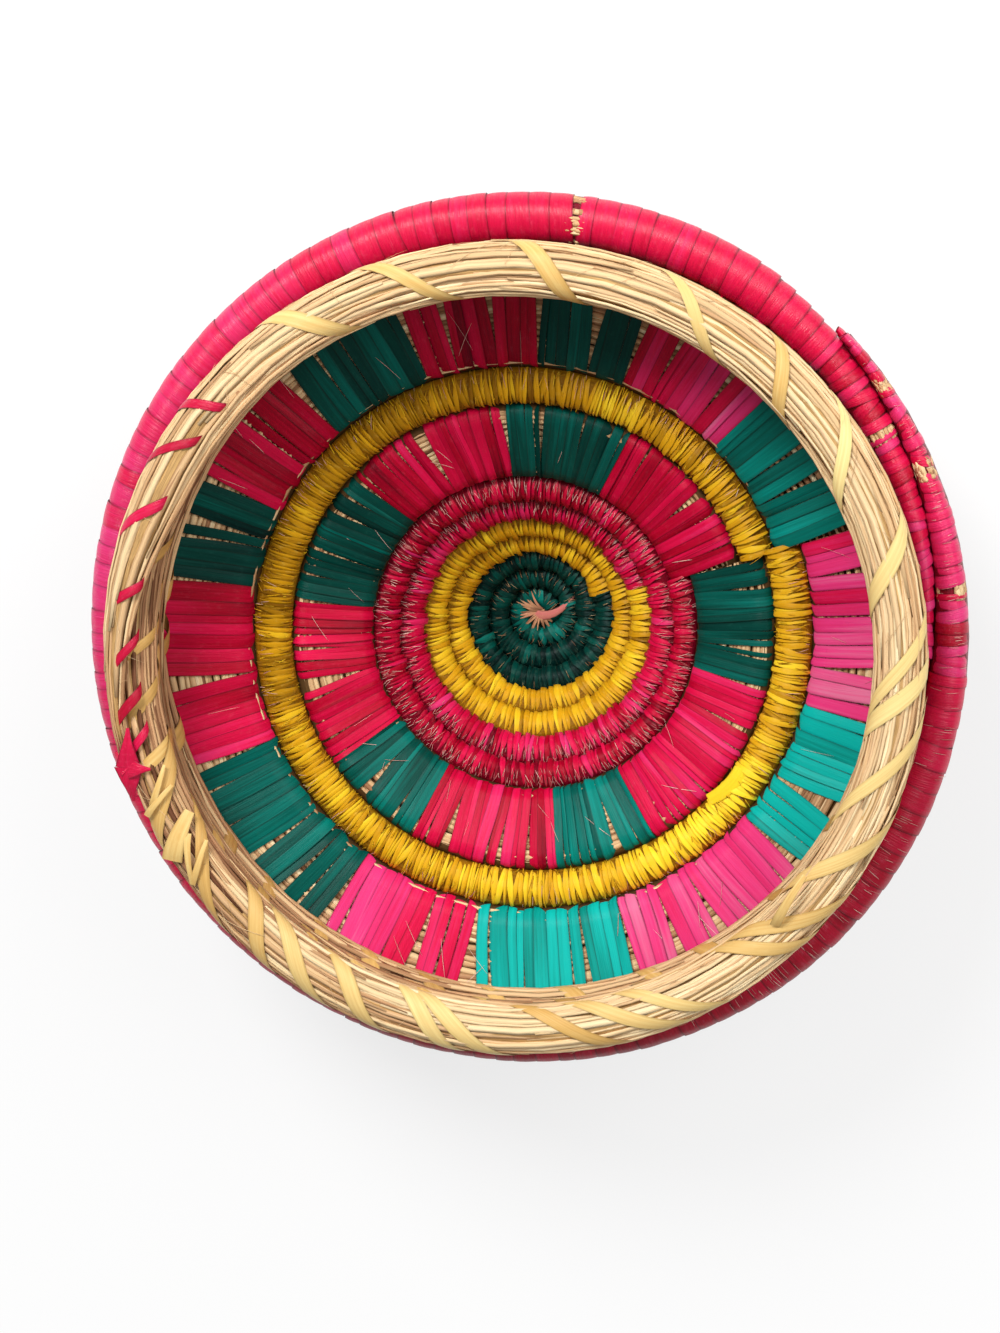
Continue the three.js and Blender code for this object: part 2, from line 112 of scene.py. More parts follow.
# How light the lid's green and pink coils, the yellow ring, the rims and the collar's straw are, by azimuth
GREEN_TONES = ((SEAM + 0.7 * ROUND, 0.48), (SEAM + 1.2 * ROUND, 0.18))
PINK_TONES = ((SEAM + 5.9 * ROUND, 0.46), (SEAM + 6.2 * ROUND, 0.32))
# The ring is lighter round the south and darker to the north and west: painted light and shade on top of the
# leaf's own tone
RING_TONES_WITH_PAINTED_LIGHT = (
    (20, 0.5), (60, 0.44), (64, 0.7), (72, 0.7), (76, 0.46), (110, 0.38), (195, 0.4),
    (222, 0.6), (255, 0.66), (294, 0.66), (298, 0.96), (330, 0.96), (334, 0.6), (380, 0.56),
)
# The rims are darker from 250 to 330 degrees: painted shade on their south side. Their lighter west is faded
# dye.
RIM_TONES_WITH_PAINTED_SHADE = (
    (0, 0.6), (45, 0.5), (95, 0.44), (130, 0.56), (180, 0.7),
    (205, 0.5), (250, 0.2), (330, 0.28), (352, 0.5), (360, 0.6),
)
# The collar's straw is darker round 180 to 220 degrees: painted shade on its west and south-west side
COLLAR_TONES_WITH_PAINTED_SHADE = ((0, 0.6), (140, 0.54), (180, 0.3), (220, 0.32), (256, 0.62), (290, 0.66), (360, 0.62))
# Painted light on the collar's top round, which is lighter than the rounds below it
TOP_ROW_PAINTED_LIGHT = 0.1
SEAM_PAINTED_SHADE = 0.35  # painted shade of the straw down between two rows

# Azimuths of the strips that bind the collar
PALE_TIES = (1, 16, 33, 47, 62, 84, 104, 120)
SOUTH_TIES = (203, 216, 228, 236, 246, 258, 263, 281, 290, 297, 313, 319, 331, 345, 356)
PINK_TIES = (139, 146, 157, 170, 179, 187, 193)
CLIMB_TIES = (167, 180, 189, 197)
INNER_TIES = (175, 184, 198, 217, 227, 238, 247, 259, 269, 282, 295, 305, 320, 335, 350)

# Strips of leaf
LEAF_CROWN = ((0.9, 0.75), (0.4, 0.25))  # shares of the half width that rise, and by how much
STRIP_LAP = 1.14  # width of a strip over that of its place
STRIP_EYE = 4.0  # least radius by which a strip's turn is worked out
NARROWING = (0.5, 1.3)  # spread of how far strips are drawn in
BITE_AT, BITE_REACH = 0.12, 0.06  # where, round a coil, a strip's inner end lies over the next coil
TUCK_BEND = 10  # how near its ends a strip bends down
TIE_TUCK, TIE_LIFT = 2.6, 0.6
LOOSE_GRAIN = 20.0
GRAIN_SHIFT = 1000.0

# The rims' strips, which part at some azimuths of the lid's rim and show its straw
RIM_STRIP, SPLICE_STRIP = 6.8, 3.6
SPLICE_DISORDER = 3.0
RIM_GAPS = (31, 82, 368, 384, 396)
GAP_TURN, GAP_STRAWS = 1.0, 14
FRAYED_RIM = 110.0  # how far from its end a rim is frayed

# Long stitches of the bands, which are drawn together into groups
GROUP_SHIFT = 0.25  # of a slit between two groups, as a share of a group
GROUP_FILL = 0.99
GROUP_DRAW = (0.88, 1.08)
GROUP_SWING, STITCH_SWING = 0.7, 0.3
STITCH_SHARES = (0.6, 1.5)
STITCH_LAP = (0.94, 1.1)
STITCH_LIFT, STITCH_TILT = 0.25, 0.3

# Straw under the stitches of the bands
STRAW_ROW = 2.2
STRAW_LAPS = 6
STRAW_SPAN = 0.2  # of the outline, to each side of the middle of a face
STRAW_SINK, FILLING_SINK = 1.6, 2.2

# Bundles inside the coils
BUNDLE_STEP = 6.0
BUNDLE_SIDES = 16
BUNDLE_SINK = 0.6
BUNDLE_PAINTED_SHADE = 0.2  # painted shade: the share of its wrapping's fade that a bundle takes, so that it shows dark between the strips
BUNDLE_PRESS, PRESS_BEND = 0.4, 8
BUNDLE_GRAIN = 80.0

# Stems and fibres
STEM_STEP = 0.01  # over which the run of a stem is taken
STEM_WAVES = (1, 4)
STEM_THINNING, THINNING_BEND = 0.6, 6
STEM_TIP = 0.3  # share of a stem's half that its lifted tip takes
STEM_GRAIN = 3.0
FIBRE_LENGTHS = (0.4, 1)
FIBRE_EYE = 6.0  # least radius by which a fibre's turn is worked out
FIBRE_SCATTER = 0.04
FIBRE_THICKNESS, FIBRE_LIFT = 0.12, 0.35
FIBRE_TINT = 0.15

# Stems of the collar
COLLAR_START_TRIM, COLLAR_END_TRIM = 8.0, 4.0
COLLAR_LANES = 64
COLLAR_STEM = 60.0
COLLAR_LAST_STEM = 20.0  # least turn left for a stem
SEAM_BEND = 4

# Start of the coils
TUFT_STEMS = 24
TUFT_FAN = (115, 325)
HEART_SIDES = 16
HEART_RADIUS = 8.0
HEART_FLATNESS = 0.4
HEART_PLACE = (2.6, -1.4)

# Finishes
SIDE_SHADE_LINE = 9.0  # how thin the line of painted shade along the side of a strip is, where it meets the next
# Colour of the painted shade line along the sides of strips
SIDE_SHADE_COLOUR = (0.012, 0.006, 0.004, 1)
WORN_SPOTS = (0.54, 0.74)
WORN_FIBRES = (0.52, 0.64)
WORN_EDGE = 0.3
ROUGHNESS_SPREAD = 0.12
RELIEF_DEPTH = 0.0004  # metres

# Light
FLOOR_SIZE = 60.0  # metres
FLOOR_COLOUR = (0.9, 0.9, 0.9, 1)
FLOOR_GLOW = 0.7
SHADOW_REACH = (0.15, 0.6)  # metres over which the floor's shadow fades away
WORLD_LIGHT = 0.36

# The photograph's camera, which looks at a point by the middle of the lid's rim
CAMERA_TILT = 12.5
CAMERA_AZIMUTH = 58.3
CAMERA_DISTANCE = 700.0
CAMERA_AIM = (-6.8, -8.4)
FRAME_LONG_SIDE = 1333.0
FOCAL_PIXELS = 2044.0
SENSOR = 36.0


def sin(angle):
    return np.sin(np.radians(angle))


def cos(angle):
    return np.cos(np.radians(angle))


class Profile:
    """The middle surface of one half as a line of radius and height, walked outwards."""

    def __init__(self, start, zones):
        knots = [(0.0, *start)]
        for length, slope in zones:
            walked, radius, height = knots[-1]
            knots.append((walked + length, radius + length * cos(slope), height + length * sin(slope)))
        self.walked, self.radii, self.heights = np.array(knots).T

    def at(self, distance):
        radius = np.interp(distance, self.walked, self.radii)
        return radius, np.interp(distance, self.walked, self.heights)

    def distance_to(self, radius):
        return np.interp(radius, self.radii, self.walked)


class Winding:
    """A coil or band: where its section lies at each azimuth, and the outline of that section.

    A fraction of the outline is 0 at the inner edge, a quarter on the upper face, a half at the outer
    edge and three quarters on the under face.
    """

    def __init__(self, edges, thickness, flat=False):
        self.edges = edges
        self.thickness = thickness
        self.flat = flat

    def frame_at(self, azimuth):
        azimuth = np.asarray(azimuth, float)
        (r0, z0), (r1, z1) = self.edges(azimuth)
        width = np.hypot(r1 - r0, z1 - z0)
        thickness = self.thickness(azimuth) if callable(self.thickness) else self.thickness
        return (r0 + r1) / 2, (z0 + z1) / 2, (r1 - r0) / width, (z1 - z0) / width, width / 2, thickness / 2

    def radius(self, azimuth):
        return self.frame_at(azimuth)[0]

    def half_width(self, azimuth):
        return self.frame_at(azimuth)[4]

    def outline(self, fraction, half_width, half_thickness):
        if not self.flat:
            return (-half_width * cos(ROUND * fraction), half_thickness * sin(ROUND * fraction),
                    -cos(ROUND * fraction), sin(ROUND * fraction))
        straight = 2 * (np.mean(half_width) - half_thickness)
        quarter = math.pi * half_thickness / 2
        stops = np.cumsum([0, quarter, straight, 2 * quarter, straight, quarter])
        turned = np.interp(fraction * stops[-1], stops, (0, 90, 90, 270, 270, 360))
        side = np.interp(fraction * stops[-1], stops, (-1, -1, 1, 1, -1, -1))
        middle = side * (half_width - half_thickness)
        return middle - half_thickness * cos(turned), half_thickness * sin(turned), -cos(turned), sin(turned)

    def point(self, azimuth, fraction, lift):
        """Points in metres, lifted off the outline."""
        mid_r, mid_z, along_r, along_z, half_width, half_thickness = self.frame_at(azimuth)
        x, y, out_x, out_y = self.outline(fraction % 1, half_width, half_thickness)
        x, y = x + lift * out_x, y + lift * out_y
        radius = mid_r + along_r * x - along_z * y
        height = mid_z + along_z * x + along_r * y
        return MM * np.stack(np.broadcast_arrays(radius * cos(azimuth), radius * sin(azimuth), height), -1)


def tangent(azimuth):
    return np.stack((-sin(azimuth), cos(azimuth), np.zeros_like(azimuth)), -1)


def direction(vectors):
    return vectors / np.linalg.norm(vectors, axis=-1, keepdims=True)


def around_axis(azimuth, radius, height):
    return radius * cos(azimuth), radius * sin(azimuth), height


def turns(start, end):
    """Azimuths of a stretch given in rounds from the seam."""
    return SEAM + ROUND * start, SEAM + ROUND * end


def by_azimuth(tones):
    """Shade at any azimuth, from pairs of an azimuth and a shade."""
    azimuths, shades = zip(*tones)
    return lambda azimuth: np.interp(azimuth, azimuths, shades)


# Windings

def spiral_starts(cords):
    pitches = [cord + COIL_GAP for rounds, cord in cords for _ in range(rounds)]
    return EYE + np.concatenate(([0.0], np.cumsum(pitches)))


def spiral(profile, starts):
    """The narrow coils of one half; azimuths run on from the centre, one round after another."""
    ends = np.append(starts, starts[-1] + BAND_GROWTH)

    def edges(azimuth):
        turned = (azimuth - SEAM) / ROUND
        inner = np.interp(turned, np.arange(len(ends)), ends)
        outer = np.interp(turned + 1, np.arange(len(ends)), ends)
        return profile.at(inner + COIL_GAP / 2), profile.at(outer - COIL_GAP / 2)

    return Winding(edges, COIL_THICKNESS)


def growing(profile, low, high, thickness, flat=False, growth_high=BAND_GROWTH):
    """One round whose inner edge winds outwards, and whose outer edge does so by a growth of its own."""

    def edges(azimuth):
        turned = np.clip((azimuth - SEAM) / ROUND, 0, 1)
        inner = low + BAND_GROWTH * turned + COIL_GAP / 2
        outer = high + growth_high * turned - COIL_GAP / 2
        return profile.at(inner), profile.at(outer)

    return Winding(edges, thickness, flat)


def stack_levels(azimuth, rounds, climb_from, climb):
    """Bottom and top, in rounds, of a coil that lies on itself and climbs over the round below."""
    turned = np.asarray(azimuth, float) - climb_from
    lap = np.clip(np.floor(turned / ROUND), 0, rounds)
    climbed = np.clip((turned - lap * ROUND) / climb, 0, 1)
    return np.where(lap == 0, 0, lap - 1 + climbed), np.where(lap == rounds, rounds, lap + climbed)


def wall_coil(low, cord, rounds):
    """Rounds that lie on one another up the wall of the base."""
    pitch = cord + COIL_GAP

    def edges(azimuth):
        bottom, top = stack_levels(azimuth, rounds, WALL_CLIMB_FROM, WALL_CLIMB)
        return BASE.at(low + pitch * bottom + COIL_GAP / 2), BASE.at(low + pitch * top - COIL_GAP / 2)

    def thickness(azimuth):
        bottom, top = stack_levels(azimuth, rounds, WALL_CLIMB_FROM, WALL_CLIMB)
        return COIL_THICKNESS * np.clip(top - bottom, THINNEST_SHARE, 1)

    return Winding(edges, thickness)


def collar_coil(low):
    """The collar. Its top round overhangs the others, and its rounds and thin end are in line outside."""
    def shape(azimuth):
        bottom, top = stack_levels(azimuth, COLLAR_ROUNDS, COLLAR_CLIMB_FROM, COLLAR_CLIMB)
        overhung = np.clip(top - (COLLAR_ROUNDS - 1), 0, 1)
        width = COLLAR_LOW_WIDTH + (COLLAR_WIDTH - COLLAR_LOW_WIDTH) * overhung
        share = np.clip(top - bottom, THINNEST_SHARE, 1)
        return bottom, top, COLLAR_OUTER - width / 2 * (1 + (share - 1) * overhung), width * share

    def edges(azimuth):
        bottom, top, radius, _ = shape(azimuth)
        start, end = low + COLLAR_PITCH * bottom, low + COLLAR_PITCH * top
        return (radius, start + COIL_GAP / 2), (radius, end - COIL_GAP / 2)

    return Winding(edges, lambda azimuth: shape(azimuth)[3])


def collar_row(low, index, width):
    """One level row of the collar, which its binding strips go round."""
    radius, bottom = COLLAR_OUTER - width / 2, low + index * COLLAR_PITCH
    return Winding(lambda azimuth: ((radius + 0 * azimuth, bottom + 0 * azimuth),
                                    (radius + 0 * azimuth, bottom + COLLAR_PITCH + 0 * azimuth)), width)


def splice_width(turned):
    """Width of a rim coil at an angle from one of its ends. The other end lies beside it in the overlap."""
    overlap, beside = SPLICE_TO - SPLICE_FROM, RIM_CORD - SPLICE_CORD - COIL_GAP
    return np.interp(turned, (0, overlap, overlap + SPLICE_TAPER), (SPLICE_CORD, beside, RIM_CORD))


def rim(height):
    start, tip = SEAM + SPLICE_FROM, SEAM + ROUND + SPLICE_TO

    def edges(azimuth):
        inner_edge = RIM_RADIUS - splice_width(tip - azimuth)
        outer_edge = MOUTH + splice_width(azimuth - start)
        return (inner_edge, height + 0 * azimuth), (outer_edge, height + 0 * azimuth)

    def thickness(azimuth):
        (inner_edge, _), (outer_edge, _) = edges(azimuth)
        return RIM_CORD * (SPLICE_FLATNESS + (1 - SPLICE_FLATNESS) * (outer_edge - inner_edge) / RIM_CORD)

    return Winding(edges, thickness)


def middle_height(node):
    low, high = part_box(node)
    return (low.z + high.z) / 2 / MM


LID_RIM = middle_height("lid_rim_coil")
BASE_RIM = middle_height("base_rim_coil")
MOUTH = RIM_RADIUS - RIM_CORD

lid_starts = spiral_starts((
    (GREEN_ROUNDS, GREEN_CORD),
    (YELLOW_ROUNDS, YELLOW_CORD),
    (PINK_ROUNDS, PINK_CORD),
))
INNER_BAND_START = lid_starts[-1]
RING_START = INNER_BAND_START + INNER_BAND_WIDTH + COIL_GAP
OUTER_BAND_START = RING_START + RING_CORD + COIL_GAP


def lid_profile():
    rounds = (1, GREEN_ROUNDS, GREEN_ROUNDS + YELLOW_ROUNDS)
    ends = [(lid_starts[k] + lid_starts[k + 1]) / 2 for k in rounds]
    ends += [INNER_BAND_START + BAND_GROWTH / 2, RING_START + BAND_GROWTH / 2, FAR]
    zones = list(zip(np.diff([0, *ends]), LID_SLOPES))
    unplaced = Profile((0, 0), zones)
    edge_height = unplaced.at(unplaced.distance_to(MOUTH))[1]
    return Profile((0, LID_RIM + RIM_DROP - edge_height), zones)


LID = lid_profile()
OUTER_BAND_END = LID.distance_to(MOUTH)
LID_COIL = spiral(LID, lid_starts)
INNER_BAND = growing(LID, INNER_BAND_START, RING_START, BAND_THICKNESS, flat=True)
RING = growing(LID, RING_START, OUTER_BAND_START, COIL_THICKNESS)
OUTER_BAND = growing(LID, OUTER_BAND_START, OUTER_BAND_END, BAND_THICKNESS, flat=True, growth_high=0)
LID_RIM_COIL = rim(LID_RIM)
COLLAR_PITCH = COLLAR_CORD + COIL_GAP
COLLAR_OUTER = MOUTH - COLLAR_FIT
COLLAR_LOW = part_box("lid_collar_coil")[1].z / MM + COIL_GAP / 2 - COLLAR_ROUNDS * COLLAR_PITCH
COLLAR_TOP = COLLAR_LOW + COLLAR_ROUNDS * COLLAR_PITCH
COLLAR = collar_coil(COLLAR_LOW)
COLLAR_TOP_ROW = collar_row(COLLAR_LOW, 2, COLLAR_WIDTH)
COLLAR_MIDDLE_ROW = collar_row(COLLAR_LOW, 1, COLLAR_LOW_WIDTH)
COLLAR_LOW_ROW = collar_row(COLLAR_LOW, 0, COLLAR_LOW_WIDTH)

base_starts = spiral_starts((
    (BASE_GREEN_ROUNDS, BASE_GREEN_CORD),
    (BASE_YELLOW_ROUNDS, BASE_YELLOW_CORD),
    (BASE_PINK_ROUNDS, BASE_PINK_CORD),
))
HEEL_START = base_starts[-1]
WALL_START = HEEL_START + HEEL_CORD + COIL_GAP


def base_profile():
    floor = COIL_THICKNESS / 2
    bottom = [(HEEL_START + BAND_GROWTH + COIL_GAP, 0), (HEEL_CORD, HEEL_SLOPE)]
    radius, height = Profile((0, floor), bottom).at(FAR)
    rise, run = BASE_RIM - height, RIM_RADIUS - RIM_CORD / 2 - radius
    slope = math.degrees(math.atan2(rise, run))
    foot = sum(length for length, _ in bottom)
    return Profile((0, floor), [*bottom, (FAR, slope)]), slope, foot + math.hypot(run, rise)


BASE, WALL_SLOPE, WALL_END = base_profile()
WALL_TOP = WALL_END - RIM_CORD / 2 / sin(WALL_SLOPE) - SEAT_GAP
WALL_GREEN_LOW = WALL_TOP - WALL_GREEN_ROUNDS * (WALL_GREEN_CORD + COIL_GAP)
WALL_RING_LOW = WALL_GREEN_LOW - WALL_RING_CORD - COIL_GAP
BASE_COIL = spiral(BASE, base_starts)
HEEL = growing(BASE, HEEL_START, WALL_START, COIL_THICKNESS)
WALL_BAND = growing(BASE, WALL_START, WALL_RING_LOW, BAND_THICKNESS, flat=True, growth_high=0)
WALL_RING = wall_coil(WALL_RING_LOW, WALL_RING_CORD, 1)
WALL_GREEN = wall_coil(WALL_GREEN_LOW, WALL_GREEN_CORD, WALL_GREEN_ROUNDS)
BASE_RIM_COIL = rim(BASE_RIM)


# Shapes modelled once and laid many times

class Shape:
    """The points and faces of a modelled shape, taken off its object."""

    def __init__(self, obj):
        self.points = np.array([v.co for v in obj.data.vertices])
        self.faces = [tuple(p.vertices) for p in obj.data.polygons]
        bpy.data.objects.remove(obj)


def raise_columns(strip, reach, rise):
    """Lifts the points of a flat strip that lie within a reach of its middle line."""
    bpy.ops.mesh.select_all(action="DESELECT")
    bpy.ops.object.mode_set(mode="OBJECT")
    for vertex in strip.data.vertices:
        vertex.select = abs(vertex.co.x) < reach
    bpy.ops.object.mode_set(mode="EDIT")
    bpy.ops.transform.translate(value=(0, 0, rise))


def model_leaf(columns, rows, wound=True):
    """A strip of leaf: across it goes from -1 to 1, along it from 0 to 1, and its middle stands 1 high. One
    that is wound is made face down, because winding it turns it over."""
    bpy.ops.object.select_all(action="DESELECT")
    bpy.ops.mesh.primitive_grid_add(x_subdivisions=columns, y_subdivisions=rows, size=2)
    strip = bpy.context.object
    bpy.ops.object.mode_set(mode="EDIT")
    bpy.ops.transform.resize(value=(1, 0.5, 1))
    bpy.ops.transform.translate(value=(0, 0.5, 0))
    for reach, rise in LEAF_CROWN:
        raise_columns(strip, reach, rise)
    if wound:
        bpy.ops.mesh.select_all(action="SELECT")
        bpy.ops.mesh.flip_normals()
    bpy.ops.object.mode_set(mode="OBJECT")
    return Shape(strip)


def model_stem(sides, lengths):
    """A stem: a tube of radius 1 along Z from 0 to 1, drawn up in short lengths so that it bends."""
    bpy.ops.object.select_all(action="DESELECT")
    bpy.ops.mesh.primitive_circle_add(vertices=sides, radius=1, fill_type="NGON")
    stem = bpy.context.object
    bpy.ops.object.mode_set(mode="EDIT")
    bpy.ops.mesh.select_all(action="SELECT")
    bpy.ops.mesh.extrude_repeat(steps=lengths, offset=(0, 0, 1 / lengths))
    bpy.ops.mesh.select_all(action="SELECT")
    bpy.ops.mesh.normals_make_consistent(inside=False)
    bpy.ops.object.mode_set(mode="OBJECT")
    return Shape(stem)


def model_heart(sides):
    """A round knot of radius 1, the first turn of a coil."""
    bpy.ops.object.select_all(action="DESELECT")
    bpy.ops.mesh.primitive_uv_sphere_add(segments=sides, ring_count=sides // 2, radius=1)
    return Shape(bpy.context.object)


WRAP_LEAF = model_leaf(4, 16)
LONG_LEAF = model_leaf(4, 18)
RIM_LEAF = model_leaf(4, 20)
LOOSE_LEAF = model_leaf(2, 8, wound=False)
STEM = model_stem(5, 12)
FIBRE = model_stem(3, 5)


def lay(name, shape, points, values, uvs, finish, body, nodes=()):
    """Copies of a shape as one piece. Points and uvs have a row of the shape's points for each copy, and
    values are named numbers for the finish."""
    material, slot = finish
    copies, size = points.shape[:2]
    mesh = bpy.data.meshes.new(name)
    faces = [[i + k * size for i in face] for k in range(copies) for face in shape.faces]
    mesh.from_pydata(points.reshape(-1, 3).tolist(), [], faces)
    for label, value in values.items():
        layer = mesh.attributes.new(label, "FLOAT", "POINT")
        layer.data.foreach_set("value", np.broadcast_to(value, (copies, size)).astype(np.float32).ravel())
    corners = np.empty(len(mesh.loops), np.int32)
    mesh.loops.foreach_get("vertex_index", corners)
    uv_map = mesh.uv_layers.new(name="leaf")
    uv_map.data.foreach_set("uv", uvs.reshape(-1, 2)[corners].astype(np.float32).ravel())
    mesh.polygons.foreach_set("use_smooth", np.ones(len(mesh.polygons), bool))
    mesh.materials.append(material)
    mesh.update()
    piece = bpy.data.objects.new(name, mesh)
    bpy.context.scene.collection.objects.link(piece)
    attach(piece, body)
    if nodes:
        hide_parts(*nodes)


def column(value, copies):
    return np.broadcast_to(np.asarray(value, float), (copies,))[:, None]


def grain_map(across, along):
    """Map of some strips in millimetres, shifted at random so that no two have the same grain."""
    local = np.stack(np.broadcast_arrays(across, along), -1)
    return local + RNG.uniform(0, GRAIN_SHIFT, (len(local), 1, 2))


def lay_leaves(name, winding, shape, azimuth, width, fade, finish, body, nodes=(), lift=0.0, crown=0.12,
               overlap=0.0, swing=0.0, lean=0.0, span=(0, 1), narrow=(0.0, 0.0), bite=0.0, drift=0.0,
               tuck=0.0):
    """Strips of leaf round a winding. Overlap tilts each one over its neighbour, swing turns it on from the
    inner edge to the outer one, lean winds it on as it goes round, narrow draws it in at the inner and at
    the outer edge, bite draws its inner end over the next coil, drift changes its shade outwards, and tuck
    sinks both its ends."""
    copies = len(azimuth)
    across, along, rise = shape.points.T
    fraction = span[0] + (span[1] - span[0]) * along
    width, lift = column(width, copies), column(lift, copies)
    inwards = cos(ROUND * fraction)
    outwards = (1 - inwards) / 2
    centre = column(azimuth, copies) + column(swing, copies) * outwards
    centre = centre + column(lean, copies) * (fraction - 0.5)
    bitten = column(bite, copies) * np.exp(-((fraction - BITE_AT) / BITE_REACH) ** 2)
    height = lift + column(crown, copies) * rise - column(overlap, copies) * across + bitten
    height = height - tuck * (2 * along - 1) ** TUCK_BEND
    inner, outer = (column(share, copies) for share in narrow)
    drawn_in = inner * np.maximum(0, inwards) + outer * np.maximum(0, -inwards)
    points = winding.point(centre, fraction, height)
    points = points + MM * tangent(centre) * (across * width / 2 * (1 - drawn_in))[..., None]
    values = {
        "fade": column(fade, copies) + column(drift, copies) * (outwards - 0.5),
        "side": np.abs(across),
        "edge": inwards ** 2,
    }
    length = 2 * (winding.half_width(azimuth) + COIL_THICKNESS / 2)
    uvs = grain_map(across * width / 2, along * column(length, copies))
    lay(name, shape, points, values, uvs, finish, body, nodes)


def lay_stems(name, winding, azimuth, turn, fraction, drift, width, thickness, fade, finish, body, nodes=(),
              lift=0.0, rise=0.0, tips=0.0, wave=0.25, shape=STEM):
    """Flattened stems along a winding. Each starts at an azimuth, goes on for a turn and drifts round the
    section; rise lifts its far end and tips lifts both."""
    copies = len(azimuth)
    x, y, along = shape.points.T
    phase, waves = RNG.uniform(0, 1, (copies, 1)), RNG.integers(*STEM_WAVES, (copies, 1))

    def azimuth_at(along):
        return column(azimuth, copies) + column(turn, copies) * along

    def place(along, off=0.0):
        tip = np.maximum(0, np.abs(2 * along - 1) - (1 - STEM_TIP))
        height = column(lift, copies) + off + wave * np.sin(2 * math.pi * (along + phase) * waves)
        height = height + column(rise, copies) * along ** 2 + column(tips, copies) * tip / STEM_TIP
        around = column(fraction, copies) + column(drift, copies) * along
        return winding.point(azimuth_at(along), around, height)

    spine = place(along)
    ahead = direction(place(along + STEM_STEP) - place(along - STEM_STEP))
    aside = direction(np.cross(place(along, STEM_STEP) - spine, ahead))
    off = np.cross(ahead, aside)
    thinned = 1 - STEM_THINNING * np.abs(2 * along - 1) ** THINNING_BEND
    points = spine + MM * (aside * (x * column(width, copies) / 2 * thinned)[..., None]
                           + off * (y * column(thickness, copies) / 2 * thinned)[..., None])
    length = np.radians(np.abs(column(turn, copies))) * winding.radius(azimuth_at(along))
    uvs = grain_map(np.arctan2(y, x) * STEM_GRAIN, along * length)
    values = {"fade": column(fade, copies), "edge": RNG.uniform(0, 1, (copies, 1))}
    lay(name, shape, points, values, uvs, finish, body, nodes)


def lay_loose(name, paths, width, fade, finish, body, nodes=(), cup=0.3, blunt=0.15, taper=2.0):
    """Loose strips of leaf. Each follows a curve drawn by four points and narrows to its far end; under a
    taper of 1 its sides are hollow."""
    paths = np.array(paths, float)
    across, along, rise = LOOSE_LEAF.points.T
    left = 1 - along
    steps = np.stack((left ** 3, 3 * along * left ** 2, 3 * along ** 2 * left, along ** 3))
    spine = np.einsum("pv,cpx->cvx", steps, paths)
    slopes = np.stack((-left ** 2, left ** 2 - 2 * along * left, 2 * along * left - along ** 2, along ** 2))
    ahead = np.einsum("pv,cpx->cvx", slopes, paths)
    up = np.array((0.0, 0.0, 1.0))
    aside = direction(np.cross(ahead, up))
    narrowed = column(width, len(paths)) * (blunt + (1 - blunt) * (1 - along ** taper)) / 2
    points = MM * (spine + aside * (across * narrowed)[..., None] + up * (cup * rise)[:, None])
    values = {"fade": column(fade, len(paths)), "side": np.abs(across)}
    uvs = grain_map(across * narrowed, along * LOOSE_GRAIN)
    lay(name, LOOSE_LEAF, points, values, uvs, finish, body, nodes)


def side_by_side(winding, start, end, width, spread, gaps):
    """Azimuths and widths of strips that lie side by side along a winding, apart from a few gaps."""
    azimuths, widths = [], []
    azimuth = start
    while azimuth < end:
        size = width(azimuth) * RNG.uniform(1 - spread, 1 + spread)
        radius = max(float(winding.radius(azimuth)), size)
        reached = azimuth + math.degrees(size / radius)
        gap = next((gap for gap in gaps if azimuth < gap <= reached), None)
        stop = gap or reached
        azimuths.append((azimuth + stop) / 2)
        widths.append(math.radians(stop - azimuth) * radius)
        azimuth = stop + GAP_TURN if gap else stop
    return np.array(azimuths), np.array(widths)


def wrap_coil(name, winding, span, width, finish, body, fade, spread=0.4, shape=WRAP_LEAF, crown=0.13,
              overlap=0.24, narrow=(0.3, 0.5), lean=0.4, bite=1.4, unevenness=0.3, tint=0.12, gaps=(),
              press=BUNDLE_PRESS, ragged=None):
    """A coil wrapped with strips of dyed leaf that lie over one another, and the bundle inside it."""
    strip_width = width if callable(width) else lambda _: width
    azimuth, widths = side_by_side(winding, *span, strip_width, spread, gaps)
    copies = len(azimuth)
    disorder = ragged(azimuth) if ragged else 1
    turn = np.degrees(widths / np.maximum(winding.radius(azimuth), STRIP_EYE))
    swing = RNG.normal(0, lean, copies) * turn * disorder
    # For the rims and the ring, dye holds painted light and shade as well as the leaf's own tone
    dye = fade(azimuth) if callable(fade) else fade
    fades = dye + RNG.normal(0, tint, copies) * disorder
    narrowed = [share * RNG.uniform(*NARROWING, copies) for share in narrow]
    lay_leaves(f"{name}_wrapping", winding, shape, azimuth - swing / 2, widths * STRIP_LAP, fades, finish,
               body, [name], lift=RNG.uniform(-unevenness, unevenness, copies) * disorder, crown=crown,
               overlap=overlap, swing=swing, narrow=narrowed, bite=bite * RNG.uniform(0, 1, copies) ** 2)
    # The bundle is much darker than its wrapping: painted shade in the gaps between strips
    shade = BUNDLE_PAINTED_SHADE * float(np.mean(dye))
    bundle(f"{name}_bundle", winding, span, finish, body, shade, BUNDLE_SINK, press)


def bundle(name, winding, span, finish, body, fade, sink, press=BUNDLE_PRESS):
    """The bundle of stems inside a coil, sunk under its wrapping and pressed against the next round."""
    start, end = span
    tube = model_stem(BUNDLE_SIDES, int((end - start) / BUNDLE_STEP))
    x, y, along = tube.points.T
    azimuth = start + (end - start) * along
    fraction = np.arctan2(y, x) / (2 * math.pi)
    pressed = press(azimuth) if callable(press) else press
    lift = (sink + pressed) * cos(ROUND * fraction) ** PRESS_BEND - sink
    points = winding.point(azimuth, fraction, lift)[None]
    uvs = np.stack((np.abs(fraction) * BUNDLE_GRAIN, np.radians(azimuth) * winding.radius(azimuth)), -1)[None]
    lay(name, tube, points, {"fade": np.array(fade)}, uvs, finish, body)


